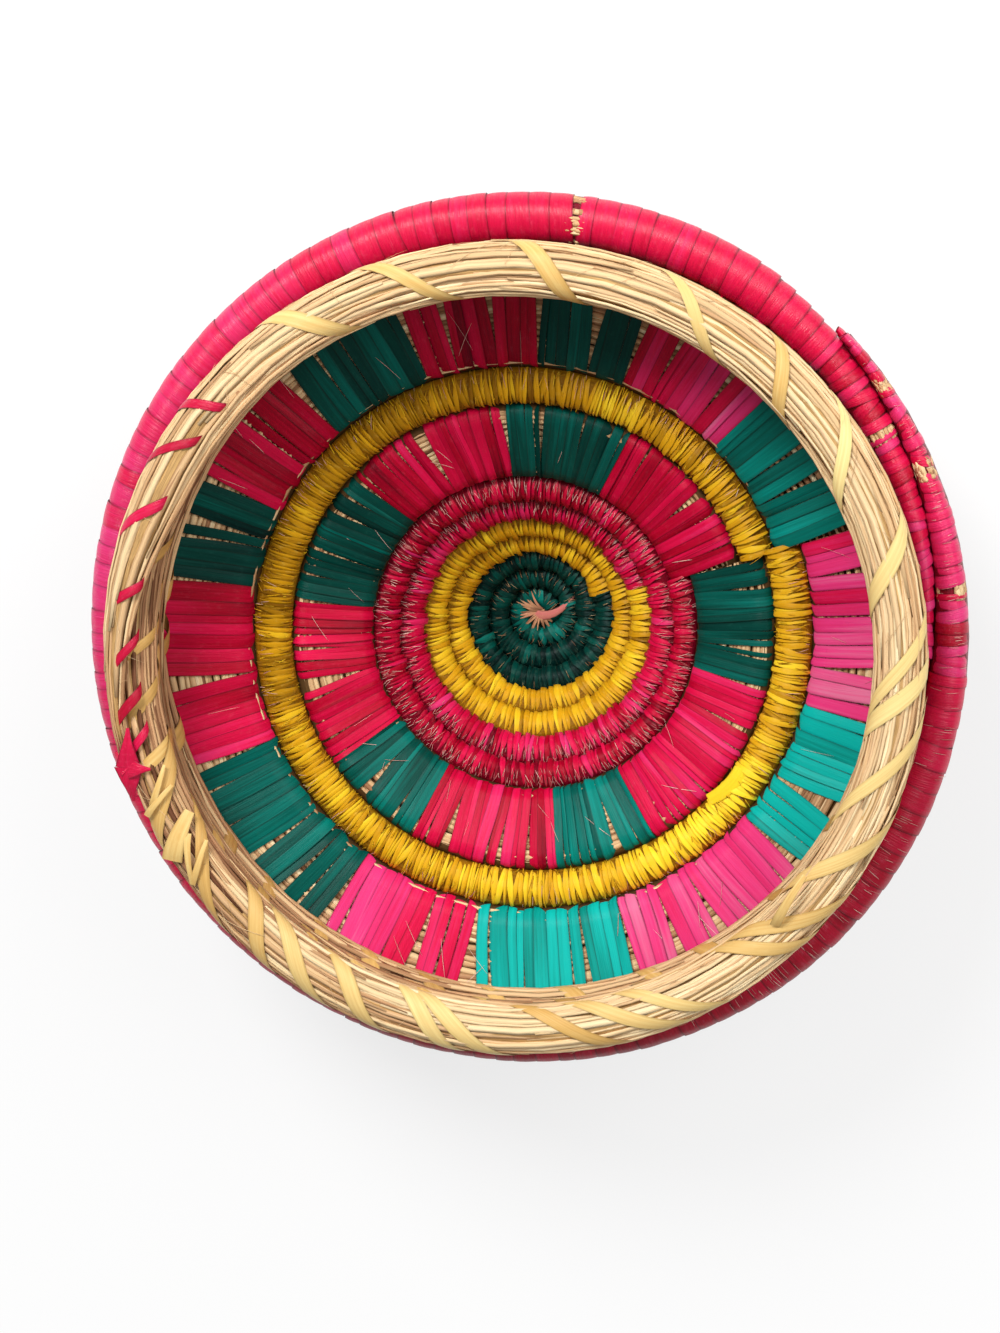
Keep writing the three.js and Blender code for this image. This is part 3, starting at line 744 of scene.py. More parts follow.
def fray(name, winding, span, finish, body, *, count, fraction, reach, fade, stand=0.8, along=0.25,
         widths=(0.1, 0.24)):
    """Fine fibre ends that stand out of a coil. Along is how far they run along it, over their length."""
    azimuth = RNG.uniform(*span, count)
    length = RNG.uniform(*FIBRE_LENGTHS, count) * reach
    turn = np.degrees(RNG.normal(0, along, count) * length / np.maximum(winding.radius(azimuth), FIBRE_EYE))
    drift = RNG.choice([-1, 1], count) * length / (math.pi * COIL_THICKNESS)
    lay_stems(name, winding, azimuth, turn, fraction + RNG.normal(0, FIBRE_SCATTER, count), drift,
              RNG.uniform(*widths, count), FIBRE_THICKNESS, fade + RNG.normal(0, FIBRE_TINT, count), finish,
              body, lift=FIBRE_LIFT, rise=RNG.uniform(0, 1, count) * stand, wave=0.0, shape=FIBRE)


# Finishes

def colour(red, green, blue):
    """A colour given in the usual 0 to 255, as the linear light that a shader takes."""
    def linear(value):
        value /= 255
        return value / 12.92 if value <= 0.04045 else ((value + 0.055) / 1.055) ** 2.4
    return (linear(red), linear(green), linear(blue), 1)


def math_node(tree, operation, first, second):
    """A calculation with two links, or with a link and a fixed number."""
    node = tree.nodes.new("ShaderNodeMath")
    node.operation = operation
    for socket, value in zip(node.inputs, (first, second)):
        if isinstance(value, (int, float)):
            socket.default_value = value
        else:
            tree.links.new(value, socket)
    return node.outputs["Value"]


def range_node(tree, value, low, high, to_low=0.0, to_high=1.0):
    node = tree.nodes.new("ShaderNodeMapRange")
    for name, number in (("From Min", low), ("From Max", high), ("To Min", to_low), ("To Max", to_high)):
        node.inputs[name].default_value = number
    tree.links.new(value, node.inputs["Value"])
    return node.outputs["Result"]


def noise_node(tree, vector, scale, detail, roughness):
    node = tree.nodes.new("ShaderNodeTexNoise")
    for name, number in (("Scale", scale), ("Detail", detail), ("Roughness", roughness)):
        node.inputs[name].default_value = number
    tree.links.new(vector, node.inputs["Vector"])
    return node.outputs["Fac"]


def mix_node(tree, factor, first, second):
    node = tree.nodes.new("ShaderNodeMix")
    node.data_type = "RGBA"
    tree.links.new(factor, node.inputs["Factor"])
    for name, value in (("A", first), ("B", second)):
        socket = next(s for s in node.inputs if s.name == name and s.type == "RGBA")
        if isinstance(value, tuple):
            socket.default_value = value
        else:
            tree.links.new(value, socket)
    return next(s for s in node.outputs if s.type == "RGBA")


def leaf_grain_group():
    """Fibres that run along a strip: a streak of shade, fine fibres, and worn spots."""
    group = bpy.data.node_groups.new("leaf grain", "ShaderNodeTree")
    for name in ("Across", "Along"):
        group.interface.new_socket(name, in_out="INPUT", socket_type="NodeSocketFloat")
    for name in ("Streak", "Fibre", "Wear"):
        group.interface.new_socket(name, in_out="OUTPUT", socket_type="NodeSocketFloat")
    given = group.nodes.new("NodeGroupInput")
    result = group.nodes.new("NodeGroupOutput")
    leaf = group.nodes.new("ShaderNodeUVMap")
    leaf.uv_map = "leaf"
    scale = group.nodes.new("ShaderNodeCombineXYZ")
    group.links.new(given.outputs["Across"], scale.inputs["X"])
    group.links.new(given.outputs["Along"], scale.inputs["Y"])
    stretched = group.nodes.new("ShaderNodeVectorMath")
    stretched.operation = "MULTIPLY"
    group.links.new(leaf.outputs["UV"], stretched.inputs[0])
    group.links.new(scale.outputs["Vector"], stretched.inputs[1])
    drawn = stretched.outputs["Vector"]
    worn = noise_node(group, leaf.outputs["UV"], scale=0.55, detail=4.0, roughness=0.7)
    streak = noise_node(group, drawn, scale=1.0, detail=3.0, roughness=0.6)
    fibre = noise_node(group, drawn, scale=3.0, detail=2.0, roughness=0.5)
    group.links.new(streak, result.inputs["Streak"])
    group.links.new(fibre, result.inputs["Fibre"])
    group.links.new(range_node(group, worn, *WORN_SPOTS), result.inputs["Wear"])
    return group


GRAIN = leaf_grain_group()


def leaf_finish(name, slot, shades, worn_colour, roughness=0.42, across=0.9, along=0.05, streak=0.4,
                wear=0.12, frayed=0.0, painted_side_shade=0.7, bump=0.35, gloss=0.1):
    """Dyed or bare leaf and straw. A piece's fade picks the shade, its grain varies it, its long sides get a
    line of painted shade where strips meet, and the fibres at the edges of a coil are worn pale."""
    material = bpy.data.materials.new(name)
    material.use_nodes = True
    tree = material.node_tree
    surface = tree.nodes["Principled BSDF"]
    surface.inputs["Specular IOR Level"].default_value = gloss
    grain = tree.nodes.new("ShaderNodeGroup")
    grain.node_tree = GRAIN
    grain.inputs["Across"].default_value = across
    grain.inputs["Along"].default_value = along
    fade, side, edge = (tree.nodes.new("ShaderNodeAttribute") for _ in range(3))
    fade.attribute_name, side.attribute_name, edge.attribute_name = "fade", "side", "edge"
    shift = range_node(tree, grain.outputs["Streak"], 0, 1, -streak / 2, streak / 2)
    shade = math_node(tree, "ADD", fade.outputs["Fac"], shift)
    ramp = tree.nodes.new("ShaderNodeValToRGB")
    stops = ramp.color_ramp.elements
    for index, (place, tone) in enumerate(shades):
        stop = stops[index] if index < 2 else stops.new(place)
        stop.position = place
        stop.color = colour(*tone)
    tree.links.new(shade, ramp.inputs["Fac"])
    spots = math_node(tree, "MULTIPLY", grain.outputs["Wear"], wear)
    tips = math_node(tree, "MULTIPLY", range_node(tree, grain.outputs["Fibre"], *WORN_FIBRES),
                     range_node(tree, edge.outputs["Fac"], WORN_EDGE, 1, 0, frayed))
    paled = math_node(tree, "MAXIMUM", spots, tips)
    worn = mix_node(tree, paled, ramp.outputs["Color"], colour(*worn_colour))
    # Painted shade: a dark line along the long sides of each strip, where it meets the next
    dark = math_node(tree, "MULTIPLY", math_node(tree, "POWER", side.outputs["Fac"], SIDE_SHADE_LINE), painted_side_shade)
    tree.links.new(mix_node(tree, dark, worn, SIDE_SHADE_COLOUR), surface.inputs["Base Color"])
    rough = range_node(tree, grain.outputs["Streak"], 0, 1, roughness - ROUGHNESS_SPREAD,
                       roughness + ROUGHNESS_SPREAD)
    tree.links.new(rough, surface.inputs["Roughness"])
    relief = tree.nodes.new("ShaderNodeBump")
    relief.inputs["Strength"].default_value = bump
    relief.inputs["Distance"].default_value = RELIEF_DEPTH
    tree.links.new(grain.outputs["Fibre"], relief.inputs["Height"])
    tree.links.new(relief.outputs["Normal"], surface.inputs["Normal"])
    return material, slot


# Shades from dark to light: the darkest, the lightest, and those between
PINK_SHADES = (
    (0, (84, 0, 20)), (1, (222, 112, 150)), (0.26, (168, 0, 36)), (0.5, (212, 12, 68)), (0.8, (226, 56, 124)),
)
GREEN_SHADES = ((0, (0, 26, 24)), (1, (6, 178, 168)), (0.35, (0, 66, 57)), (0.7, (0, 122, 110)))
YELLOW_SHADES = ((0, (104, 62, 6)), (1, (255, 220, 46)), (0.5, (214, 156, 20)))
STRAW_SHADES = (
    (0, (100, 62, 40)), (1, (248, 228, 184)), (0.25, (158, 114, 80)), (0.5, (208, 168, 122)),
    (0.75, (232, 200, 152)),
)
SHADED_STRAW_SHADES = ((0, (40, 24, 12)), (1, (140, 102, 58)))
# Darker straw for the collar's filling: painted shade between its stems
SHADOWED_FILLING_SHADES = ((0, (104, 68, 38)), (1, (214, 172, 112)))
PALE_SHADES = ((0, (144, 98, 50)), (1, (250, 230, 160)), (0.5, (212, 168, 96)))
FIBRE_SHADES = ((0, (160, 92, 84)), (1, (255, 228, 214)), (0.5, (222, 160, 150)))
TUFT_SHADES = ((0, (92, 52, 38)), (1, (200, 104, 108)), (0.5, (190, 140, 104)))

PINK_LEAF = leaf_finish("pink leaf", "pink_wrap", PINK_SHADES, (228, 130, 150), wear=0.06)
GREEN_LEAF = leaf_finish("green leaf", "green_wrap", GREEN_SHADES, (70, 150, 132), wear=0.06)
YELLOW_LEAF = leaf_finish("yellow leaf", "yellow_wrap", YELLOW_SHADES, (252, 226, 120), wear=0.2, frayed=0.35,
                          painted_side_shade=0.4)
PINK_CORD_LEAF = leaf_finish("pink cord leaf", "pink_wrap", PINK_SHADES, (224, 150, 150), frayed=0.6)
GREEN_CORD_LEAF = leaf_finish("green cord leaf", "green_wrap", GREEN_SHADES, (120, 160, 136), frayed=0.5)
RIM_SATIN = leaf_finish("pink satin leaf", "pink_wrap", PINK_SHADES, (236, 120, 150), roughness=0.36,
                        wear=0.16, streak=0.3, bump=0.7, gloss=0.32)
DRY_STRAW = leaf_finish("dry straw", "straw", STRAW_SHADES, (208, 144, 112), roughness=0.58, along=0.02,
                        streak=0.6, frayed=0.6)
SHADED_STRAW = leaf_finish("shaded straw", "straw", SHADED_STRAW_SHADES, (120, 92, 58), roughness=0.7)
SHADOWED_FILLING_STRAW = leaf_finish("deep straw", "straw", SHADOWED_FILLING_SHADES, (190, 150, 98), roughness=0.7, across=1.6,
                         streak=2.4)
PALE_LEAF = leaf_finish("pale leaf", "straw", PALE_SHADES, (250, 236, 176), roughness=0.4, streak=0.5,
                        painted_side_shade=0.4, gloss=0.2)
PALE_FIBRE = leaf_finish("pale fibre", "straw", FIBRE_SHADES, (250, 236, 220), roughness=0.6)
TUFT_LEAF = leaf_finish("tuft leaf", "tuft", TUFT_SHADES, (236, 204, 170), roughness=0.55)


# Bands and rims of both halves

def grouped(start, end, width, outer, gather, group):
    """Azimuths, swings and widths of long stitches drawn together into groups, with slits between."""
    groups = max(2, round(math.radians(end - start) * outer / group))
    inner_places = (np.arange(1, groups) + RNG.uniform(-GROUP_SHIFT, GROUP_SHIFT, groups - 1)) / groups
    bounds = start + (end - start) * np.concatenate(([0], inner_places, [1]))
    azimuths, swings, widths = [], [], []
    for low, high in zip(bounds, bounds[1:]):
        middle, half = (low + high) / 2, (high - low) / 2
        arc = math.radians(high - low) * outer
        shares = RNG.uniform(*STITCH_SHARES, max(2, round(arc / width)))
        shares /= shares.sum()
        places = 2 * np.cumsum(shares) - shares - 1
        drawn = gather * RNG.uniform(*GROUP_DRAW)
        swings.append(RNG.normal(0, GROUP_SWING) + places * half * (drawn - GROUP_FILL)
                      + RNG.normal(0, STITCH_SWING, len(shares)))
        azimuths.append(middle + places * half * GROUP_FILL)
        widths.append(shares * arc * drawn * RNG.uniform(*STITCH_LAP, len(shares)))
    return np.concatenate(azimuths), np.concatenate(swings), np.concatenate(widths)


def band(name, winding, changes, dyes, fades, body, *, width, gather, group):
    """A flat band: rows of straw, and long stitches over them in two colours by turns. Width is a stitch's,
    gather is how far a group is drawn in at its outer end, and group is how wide it is there."""
    finishes = {"pink": PINK_LEAF, "green": GREEN_LEAF}
    for index, (start, end) in enumerate(zip(changes, changes[1:])):
        dye = dyes[index % 2]
        tail = f"{index + 1:02d}_{dye}"
        outer = winding.radius((start + end) / 2) + winding.half_width((start + end) / 2)
        azimuth, swing, widths = grouped(start, end, width, float(outer), gather, group)
        copies = len(azimuth)
        # On the lid, a stretch's fades hold painted shade as well as dye
        fade = np.interp(azimuth, (start, end), fades[index]) + RNG.normal(0, 0.08, copies)
        lay_leaves(f"{name}_stitches_{tail}", winding, LONG_LEAF, azimuth, widths, fade, finishes[dye], body,
                   [f"{name}_wrap_{tail}"], lift=RNG.uniform(-STITCH_LIFT, STITCH_LIFT, copies), crown=0.1,
                   overlap=RNG.normal(0, STITCH_TILT, copies), swing=swing,
                   narrow=(0.1, RNG.uniform(0, 0.08, copies)), drift=RNG.normal(0.05, 0.12, copies))
    rows = int(2 * float(np.mean(winding.half_width(changes))) / STRAW_ROW)
    places = np.linspace(-STRAW_SPAN, STRAW_SPAN, rows)
    fraction = np.repeat(np.concatenate((0.25 + places, 0.75 + places)), STRAW_LAPS)
    copies = len(fraction)
    azimuth = SEAM + np.tile(np.arange(STRAW_LAPS) * ROUND / STRAW_LAPS, 2 * rows)
    azimuth = np.maximum(azimuth + RNG.uniform(-1, 0, copies) * ROUND / STRAW_LAPS, SEAM)
    turn = np.minimum(2 * ROUND / STRAW_LAPS, SEAM + ROUND - azimuth)
    lay_stems(f"{name}_straws", winding, azimuth, turn, fraction, RNG.normal(0, 0.01, copies),
              RNG.uniform(1.8, 2.6, copies), 1.6, RNG.normal(0.55, 0.18, copies), DRY_STRAW, body,
              [f"{name}_core"], lift=-STRAW_SINK)
    bundle(f"{name}_filling", winding, turns(0, 1), SHADED_STRAW, body, 0.3, FILLING_SINK)


def rim_coil(half, winding, gaps=()):
    """A rim coil. Its strips are narrow and ragged along the splice, and part at a few gaps."""
    first, last = SEAM + SPLICE_FROM, SEAM + ROUND + SPLICE_TO
    overlap = SPLICE_TO - SPLICE_FROM
    # The rim's shade by azimuth holds painted shade on its south side
    tone = by_azimuth(RIM_TONES_WITH_PAINTED_SHADE)

    def spliced(azimuth):
        return (azimuth < first + overlap) | (azimuth > last - overlap)

    def strip_width(azimuth):
        return SPLICE_STRIP if spliced(azimuth) else RIM_STRIP

    node = f"{half}_rim_coil"
    wrap_coil(node, winding, (first, last), strip_width, RIM_SATIN, half,
              lambda azimuth: tone(azimuth % ROUND), spread=0.2, shape=RIM_LEAF, crown=0.22, overlap=0.12,
              narrow=(0.0, 0.0), lean=0.12, bite=0.0, unevenness=0.12, tint=0.035, gaps=gaps,
              press=lambda azimuth: BUNDLE_PRESS * spliced(azimuth),
              ragged=lambda azimuth: np.where(spliced(azimuth), SPLICE_DISORDER, 1))
    fray(f"{node}_fray", winding, (last - FRAYED_RIM, last), PALE_FIBRE, half, count=140, fraction=0.28,
         reach=4.0, fade=0.6, stand=0.3, along=0.1)
    if gaps:
        places = np.repeat(np.array(gaps, float), GAP_STRAWS)
        copies = len(places)
        lay_stems(f"{node}_straws", winding, places - GAP_TURN, 3 * GAP_TURN, RNG.uniform(0, 0.5, copies),
                  0.0, RNG.uniform(1.2, 2.2, copies), 1.0, RNG.normal(0.6, 0.15, copies), DRY_STRAW, half,
                  lift=-0.4)


def coil_heart(name, height, body):
    """The first tight turn that closes the eye of a coil."""
    heart = model_heart(HEART_SIDES)
    size = (HEART_RADIUS, HEART_RADIUS, COIL_THICKNESS * HEART_FLATNESS)
    places = heart.points * size + (*HEART_PLACE, height)
    uvs = HEART_RADIUS * heart.points[None, :, :2]
    lay(name, heart, MM * places[None], {"fade": np.array(0.3)}, uvs, GREEN_CORD_LEAF, body)


# Lid

def lid_coils():
    ends = np.cumsum([0, GREEN_ROUNDS, YELLOW_ROUNDS, PINK_ROUNDS])
    # Dye, leaf, width and shade of the strips, then count, finish and shade of the fibres
    looks = (
        ("green", GREEN_CORD_LEAF, 2.0, by_azimuth(GREEN_TONES), 240, DRY_STRAW, 0.3),
        ("yellow", YELLOW_LEAF, 1.9, 0.58, 160, YELLOW_LEAF, 0.9),
        ("pink", PINK_CORD_LEAF, 1.8, by_azimuth(PINK_TONES), 1100, PALE_FIBRE, 0.6),
    )
    for look, start, end in zip(looks, ends, ends[1:]):
        name, finish, width, fade, fibres, fibre_finish, fibre_fade = look
        node, span = f"lid_{name}_coil", turns(start, end)
        wrap_coil(node, LID_COIL, span, width, finish, "lid", fade, narrow=(0.3, 0.58))
        fray(f"{node}_fray", LID_COIL, span, fibre_finish, "lid", count=fibres, fraction=0.4, reach=3.5,
             fade=fibre_fade)
    wrap_coil("lid_ring_coil", RING, turns(0, 1), 1.6, YELLOW_LEAF, "lid", by_azimuth(RING_TONES_WITH_PAINTED_LIGHT), spread=0.5,
              narrow=(0.45, 0.55), lean=0.6, bite=0.8, unevenness=0.5)
    fray("lid_ring_coil_fray", RING, turns(0, 1), PALE_FIBRE, "lid", count=200, fraction=0.42, reach=4.5,
         fade=0.6)


def collar():
    """The collar: a filling, and single stems that run along it in lanes round its section."""
    start = COLLAR_CLIMB_FROM + COLLAR_START_TRIM
    end = COLLAR_CLIMB_FROM + COLLAR_ROUNDS * ROUND + COLLAR_CLIMB - COLLAR_END_TRIM
    # The filling's darker straw paints the shade seen between the stems
    bundle("lid_collar_filling", COLLAR, (start, end), SHADOWED_FILLING_STRAW, "lid", 0.6, 1.4)
    laps = int((end - start) / COLLAR_STEM)
    copies = COLLAR_LANES * laps
    lane, lap = np.repeat(np.arange(COLLAR_LANES), laps), np.tile(np.arange(laps), COLLAR_LANES)
    azimuth = start + (lap + RNG.uniform(-0.5, 0.5, copies)) * COLLAR_STEM
    azimuth = np.clip(azimuth, start, end - COLLAR_LAST_STEM)
    turn = np.minimum(RNG.uniform(0.9, 1.7, copies) * COLLAR_STEM, end - azimuth)
    fraction = (lane + RNG.uniform(-0.5, 0.5, copies)) / COLLAR_LANES
    middle = azimuth + turn / 2
    on_top = middle > COLLAR_CLIMB_FROM + (COLLAR_ROUNDS - 1) * ROUND + COLLAR_CLIMB
    # Painted light and shade: the top round is lighter, the straw down in the seams between rounds darker,
    # and the west side darker
    down = cos(ROUND * fraction)
    seam = np.maximum(0, down) ** SEAM_BEND + np.where(on_top, 0, np.maximum(0, -down) ** SEAM_BEND)
    fade = by_azimuth(COLLAR_TONES_WITH_PAINTED_SHADE)(middle % ROUND) + TOP_ROW_PAINTED_LIGHT * on_top - SEAM_PAINTED_SHADE * seam
    lay_stems("lid_collar_stems", COLLAR, azimuth, turn, fraction, RNG.normal(0, 0.05, copies),
              RNG.uniform(1.0, 2.6, copies), RNG.uniform(0.7, 1.1, copies),
              fade + RNG.normal(0, 0.14, copies), DRY_STRAW, "lid", ["lid_collar_coil"],
              lift=RNG.uniform(-1.0, 0.3, copies), tips=RNG.choice([0, 0, 0, 0.7], copies))
    fray("lid_collar_fray", COLLAR_TOP_ROW, (0, ROUND), DRY_STRAW, "lid", count=60, fraction=0.62, reach=8.0,
         fade=0.6, stand=1.4, along=2.0)


def ties(name, winding, azimuths, finish, *, width, fade, lean, span):
    """Strips that bind the collar, each over a span of the outline of one of its rows."""
    copies = len(azimuths)
    lay_leaves(f"lid_collar_ties_{name}", winding, WRAP_LEAF, np.array(azimuths),
               width * RNG.uniform(0.85, 1.15, copies), fade + RNG.normal(0, 0.1, copies), finish, "lid",
               lift=TIE_LIFT, crown=0.2, lean=lean * RNG.uniform(0.7, 1.3, copies), span=span,
               narrow=(0.0, RNG.uniform(-0.2, 0.12, copies)), tuck=TIE_TUCK)


def collar_ties():
    """The strips that bind the collar's rounds together, and the pink one that winds round its thin end."""
    on_climb = np.array(CLIMB_TIES) + (COLLAR_ROUNDS - 1) * ROUND
    inside = (0.06, 0.55)
    ties("pale", COLLAR_TOP_ROW, PALE_TIES, PALE_LEAF, width=7.0, fade=0.72, lean=24.0, span=(0.06, 0.98))
    ties("south", COLLAR_TOP_ROW, SOUTH_TIES, PALE_LEAF, width=8.0, fade=0.62, lean=30.0, span=(0.12, 0.9))
    ties("pink", COLLAR_TOP_ROW, PINK_TIES, RIM_SATIN, width=4.4, fade=0.4, lean=20.0, span=(0.4, 0.92))
    ties("climb", COLLAR, on_climb, PALE_LEAF, width=4.8, fade=0.45, lean=16.0, span=(0.06, 0.6))
    ties("middle", COLLAR_MIDDLE_ROW, INNER_TIES, PALE_LEAF, width=6.4, fade=0.45, lean=14.0, span=inside)
    ties("low", COLLAR_LOW_ROW, INNER_TIES, PALE_LEAF, width=6.4, fade=0.42, lean=14.0, span=inside)


def loose_strips():
    """Ends of the binding that were left lying on the collar and the yellow ring. A point is an azimuth, a
    radius and a height."""
    top = COLLAR_TOP + 1
    thin = (
        ((203, 128, top), (202, 126, top + 2), (200, 122, top + 2), (197.5, 119, top - 1)),
        ((204, 131, top), (203, 128, top + 2), (202, 123, top + 2), (201, 119, top - 1)),
        ((209, 121, top), (211, 124, top + 2.5), (214, 127, top + 2), (216, 130, top - 0.5)),
        ((216, 130, top - 0.5), (215, 126, top + 2), (213, 121, top + 2), (211.4, 117, top - 1)),
    )
    wide = (
        ((211.5, 131, top - 0.5), (210, 128, top + 1.5), (208, 123, top + 1.5), (206, 117.5, top - 2)),
        ((316.4, 121, top), (318, 119, top + 4), (322, 117, top + 5), (325.8, 117, top + 2)),
    )
    radius, height = LID.at(RING_START + BAND_GROWTH * 0.85)
    ring_top = height + COIL_THICKNESS * 0.6
    tail = ((
        (330, radius + 2, ring_top), (327, radius + 2.5, ring_top + 1.2),
        (323, radius + 1.5, ring_top + 1), (319.5, radius - 0.5, ring_top - 0.5),
    ),)
    for name, strips, width, fade, finish, blunt in (
        ("lid_collar_loose_thin", thin, 2.4, 0.6, PALE_LEAF, 0.5),
        ("lid_collar_loose_wide", wide, (7.0, 3.4), 0.6, PALE_LEAF, 0.5),
        ("lid_ring_coil_tail", tail, 5.5, 0.95, YELLOW_LEAF, 0.8),
    ):
        paths = [[around_axis(*point) for point in strip] for strip in strips]
        lay_loose(name, paths, width, fade, finish, "lid", blunt=blunt)


def collar_knot():
    """The knotted end of the pink strip on the collar."""
    middle = around_axis(196.4, 130.8, COLLAR_TOP + 0.6)
    ends = (
        around_axis(190.5, 127, COLLAR_TOP + 2), around_axis(197.5, 123.5, COLLAR_TOP + 1.2),
        around_axis(194, 135, COLLAR_TOP - 3), around_axis(201.5, 135, COLLAR_TOP - 4),
    )
    paths = []
    for end in ends:
        bend = np.add(middle, end) / 2 + (0, 0, 1.2)
        paths.append((middle, bend, bend, end))
    lay_loose("lid_collar_knot_bow", paths, (9, 8, 8, 10), 0.45, RIM_SATIN, "lid", ["lid_collar_knot"],
              cup=0.5, blunt=0.12, taper=0.8)


def start_tuft():
    """The frayed start of the coil: one pink leaf, and a fan of broken stems."""
    height = LID.at(0)[1] + COIL_THICKNESS / 2
    leaf = ((-4, -0.5, height + 1), (3, -3, height + 5), (9, 0, height + 6), (14, 7.5, height + 3.5))
    lay_loose("lid_start_tuft_leaf", [leaf], 3.6, 0.85, TUFT_LEAF, "lid", ["lid_start_tuft"], cup=0.8)
    angles = np.linspace(*TUFT_FAN, TUFT_STEMS) + RNG.normal(0, 6, TUFT_STEMS)
    reach = RNG.uniform(5, 9.5, TUFT_STEMS)
    paths = [((1, 0.5, height + 1), around_axis(a, 0.3 * r, height + 4), around_axis(a, 0.7 * r, height + 4),
              around_axis(a, r, height + 2.2)) for a, r in zip(angles, reach)]
    lay_loose("lid_start_tuft_stems", paths, RNG.uniform(0.7, 1.8, TUFT_STEMS),
              RNG.uniform(0.1, 0.6, TUFT_STEMS), TUFT_LEAF, "lid")


def lid_fibres():
    """Single fibres on the bands, and the points of the yellow strips along both edges of the ring."""
    for name, winding, count in (("outer", OUTER_BAND, 26), ("inner", INNER_BAND, 20)):
        fray(f"lid_{name}_band_fray", winding, turns(0, 1), PALE_FIBRE, "lid", count=count, fraction=0.25,
             reach=5.0, fade=0.7, stand=1.2, along=1.5)
    for edge, fraction in (("inner", 0.1), ("outer", 0.4)):
        fray(f"lid_ring_coil_spikes_{edge}", RING, turns(0, 1), YELLOW_LEAF, "lid", count=320,
             fraction=fraction, reach=4.4, fade=0.5, stand=1.0, along=0.3, widths=(0.25, 0.5))


# Base

def base_coils():
    ends = np.cumsum([0, BASE_GREEN_ROUNDS, BASE_YELLOW_ROUNDS, BASE_PINK_ROUNDS])
    looks = (("green", GREEN_CORD_LEAF, 0.35), ("yellow", YELLOW_LEAF, 0.55), ("pink", PINK_CORD_LEAF, 0.45))
    coils = [(name, BASE_COIL, turns(start, end), finish, fade)
             for (name, finish, fade), start, end in zip(looks, ends, ends[1:])]
    coils.append(("heel", HEEL, turns(0, 1), YELLOW_LEAF, 0.55))
    for name, winding, rounds, finish, fade in (
        ("wall_yellow", WALL_RING, 1, YELLOW_LEAF, 0.55),
        ("wall_green", WALL_GREEN, WALL_GREEN_ROUNDS, GREEN_CORD_LEAF, 0.45),
    ):
        end = WALL_CLIMB_FROM + rounds * ROUND + WALL_CLIMB
        coils.append((name, winding, (WALL_CLIMB_FROM + WALL_TRIM, end - WALL_TRIM), finish, fade))
    for name, winding, span, finish, fade in coils:
        wrap_coil(f"base_{name}_coil", winding, span, BASE_STRIP, finish, "base", fade)


def base_seat():
    """The stitches that hold the rim on the wall."""
    def edges(azimuth):
        return BASE.at(WALL_TOP - SEAT_REACH + 0 * azimuth), BASE.at(WALL_END + 0 * azimuth)

    lay_leaves("base_rim_coil_stitches", Winding(edges, SEAT_THICKNESS), WRAP_LEAF,
               np.arange(0, ROUND, SEAT_STEP), 2 * math.radians(SEAT_STEP) * RIM_RADIUS, 0.4, PINK_CORD_LEAF,
               "base")


# Room, light and camera

def add_light(name, place, size, power):
    """A round lamp that shines on the middle of the lid; its place and size are in metres."""
    bpy.ops.object.select_all(action="DESELECT")
    bpy.ops.object.light_add(type="AREA", location=place)
    light = bpy.context.object
    light.name = name
    light.data.shape = "DISK"
    light.data.size = size
    light.data.energy = power
    aim = Vector((0, 0, LID_RIM * MM))
    light.rotation_euler = (aim - Vector(place)).to_track_quat("-Z", "Y").to_euler()


def pale_floor():
    bpy.ops.object.select_all(action="DESELECT")
    bpy.ops.mesh.primitive_plane_add(size=FLOOR_SIZE)
    floor = bpy.context.object
    floor.name = "floor"
    material = bpy.data.materials.new("pale floor")
    material.use_nodes = True
    tree = material.node_tree
    tree.nodes.remove(tree.nodes["Principled BSDF"])
    matt = tree.nodes.new("ShaderNodeBsdfDiffuse")
    matt.inputs["Color"].default_value = FLOOR_COLOUR
    glow = tree.nodes.new("ShaderNodeEmission")
    rays = tree.nodes.new("ShaderNodeLightPath")
    place = tree.nodes.new("ShaderNodeTexCoord")
    distance = tree.nodes.new("ShaderNodeVectorMath")
    distance.operation = "LENGTH"
    tree.links.new(place.outputs["Object"], distance.inputs[0])
    glowing = range_node(tree, distance.outputs["Value"], *SHADOW_REACH, FLOOR_GLOW, 1)
    share = math_node(tree, "MULTIPLY", rays.outputs["Is Camera Ray"], glowing)
    blend = tree.nodes.new("ShaderNodeMixShader")
    tree.links.new(share, blend.inputs["Fac"])
    tree.links.new(matt.outputs["BSDF"], blend.inputs[1])
    tree.links.new(glow.outputs["Emission"], blend.inputs[2])
    tree.links.new(blend.outputs["Shader"], tree.nodes["Material Output"].inputs["Surface"])
    floor.data.materials.append(material)


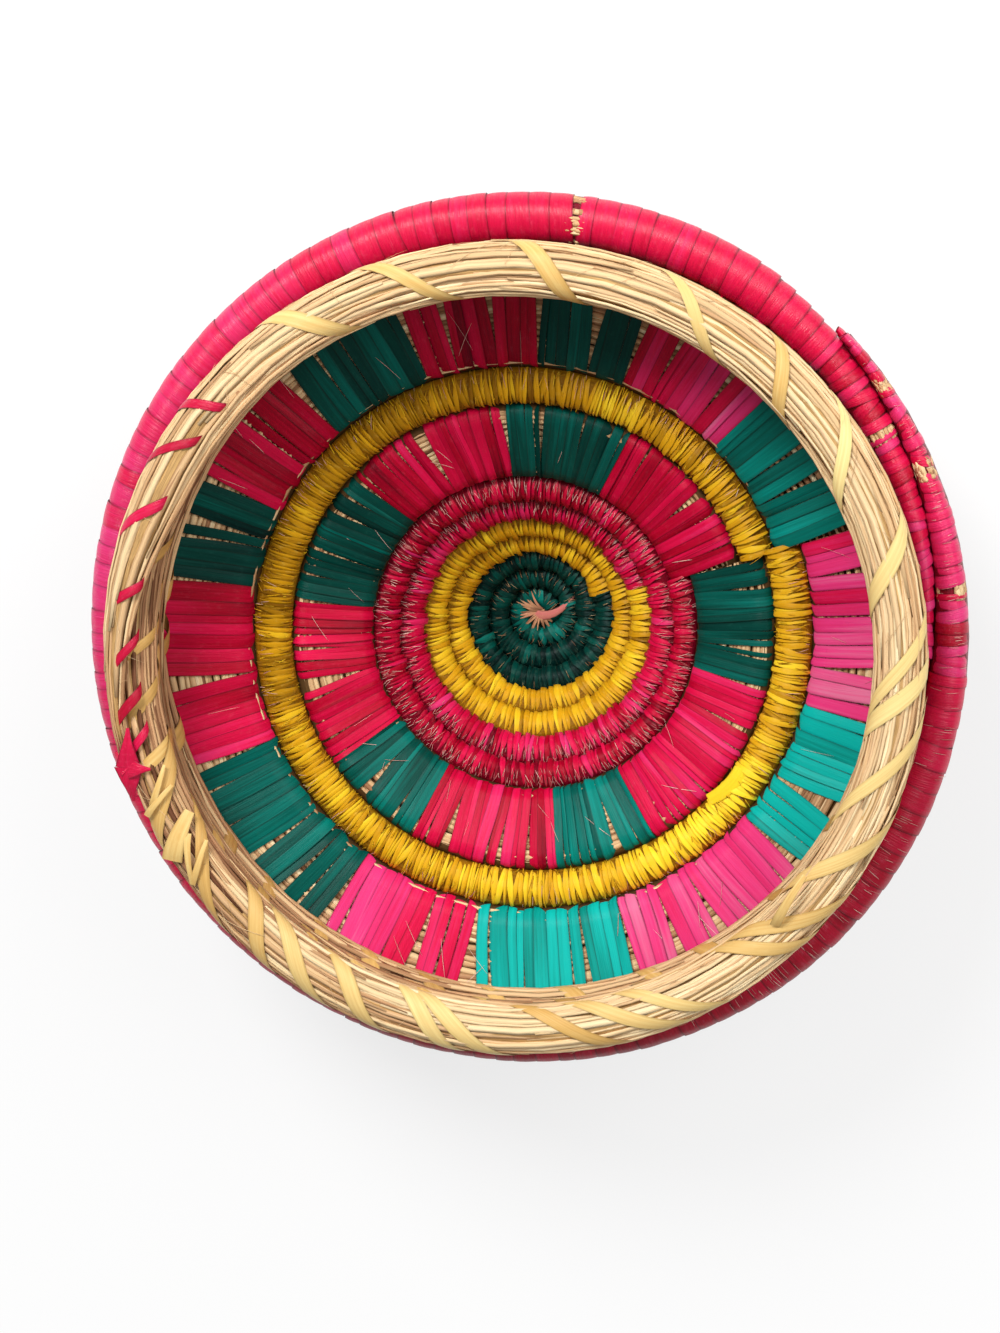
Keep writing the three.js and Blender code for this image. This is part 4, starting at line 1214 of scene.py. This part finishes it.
def soft_world():
    world = bpy.data.worlds.new("soft world")
    bpy.context.scene.world = world
    world.use_nodes = True
    tree = world.node_tree
    sky = tree.nodes["Background"]
    sky.inputs["Color"].default_value = (1, 1, 1, 1)
    rays = tree.nodes.new("ShaderNodeLightPath")
    strength = range_node(tree, rays.outputs["Is Camera Ray"], 0, 1, WORLD_LIGHT, 1.0)
    tree.links.new(strength, sky.inputs["Strength"])


def photo_camera():
    bpy.ops.object.select_all(action="DESELECT")
    bpy.ops.object.camera_add()
    camera = bpy.context.object
    camera.data.sensor_width = SENSOR
    camera.data.lens = FOCAL_PIXELS / FRAME_LONG_SIDE * SENSOR
    back = Vector(around_axis(CAMERA_AZIMUTH, sin(CAMERA_TILT), cos(CAMERA_TILT)))
    right = Vector((0, 1, 0)).cross(back).normalized()
    turned = Matrix((right, back.cross(right), back)).transposed().to_4x4()
    aim = Vector((*CAMERA_AIM, LID_RIM)) * MM
    camera.matrix_world = Matrix.Translation(aim + back * CAMERA_DISTANCE * MM) @ turned
    bpy.context.scene.camera = camera


# The random draws follow the order of these calls
lid_coils()
band("lid_inner_band", INNER_BAND, INNER_CHANGES, ("pink", "green"), INNER_FADES_WITH_PAINTED_SHADE, "lid",
     width=3.2, gather=0.95, group=15)
band("lid_outer_band", OUTER_BAND, OUTER_CHANGES, ("green", "pink"), OUTER_FADES_WITH_PAINTED_SHADE, "lid",
     width=5.4, gather=0.82, group=21)
rim_coil("lid", LID_RIM_COIL, RIM_GAPS)
collar()
collar_ties()
loose_strips()
collar_knot()
start_tuft()
coil_heart("lid_green_coil_heart", LID.at(0)[1], "lid")
base_coils()
base_seat()
coil_heart("base_green_coil_heart", BASE.at(0)[1], "base")
wall_changes = SEAM + ROUND * np.arange(WALL_SECTORS + 1) / WALL_SECTORS
band("base_wall_band", WALL_BAND, wall_changes, ("pink", "green"), WALL_FADES * (WALL_SECTORS // 2), "base",
     width=4.4, gather=0.9, group=20)
rim_coil("base", BASE_RIM_COIL)
lid_fibres()

pale_floor()
soft_world()
add_light("key", place=(-0.36, 0.76, 1.05), size=0.5, power=15)
add_light("fill", place=(0.75, 0.55, 1.0), size=0.9, power=9)
photo_camera()
bpy.context.scene.view_settings.view_transform = "Standard"
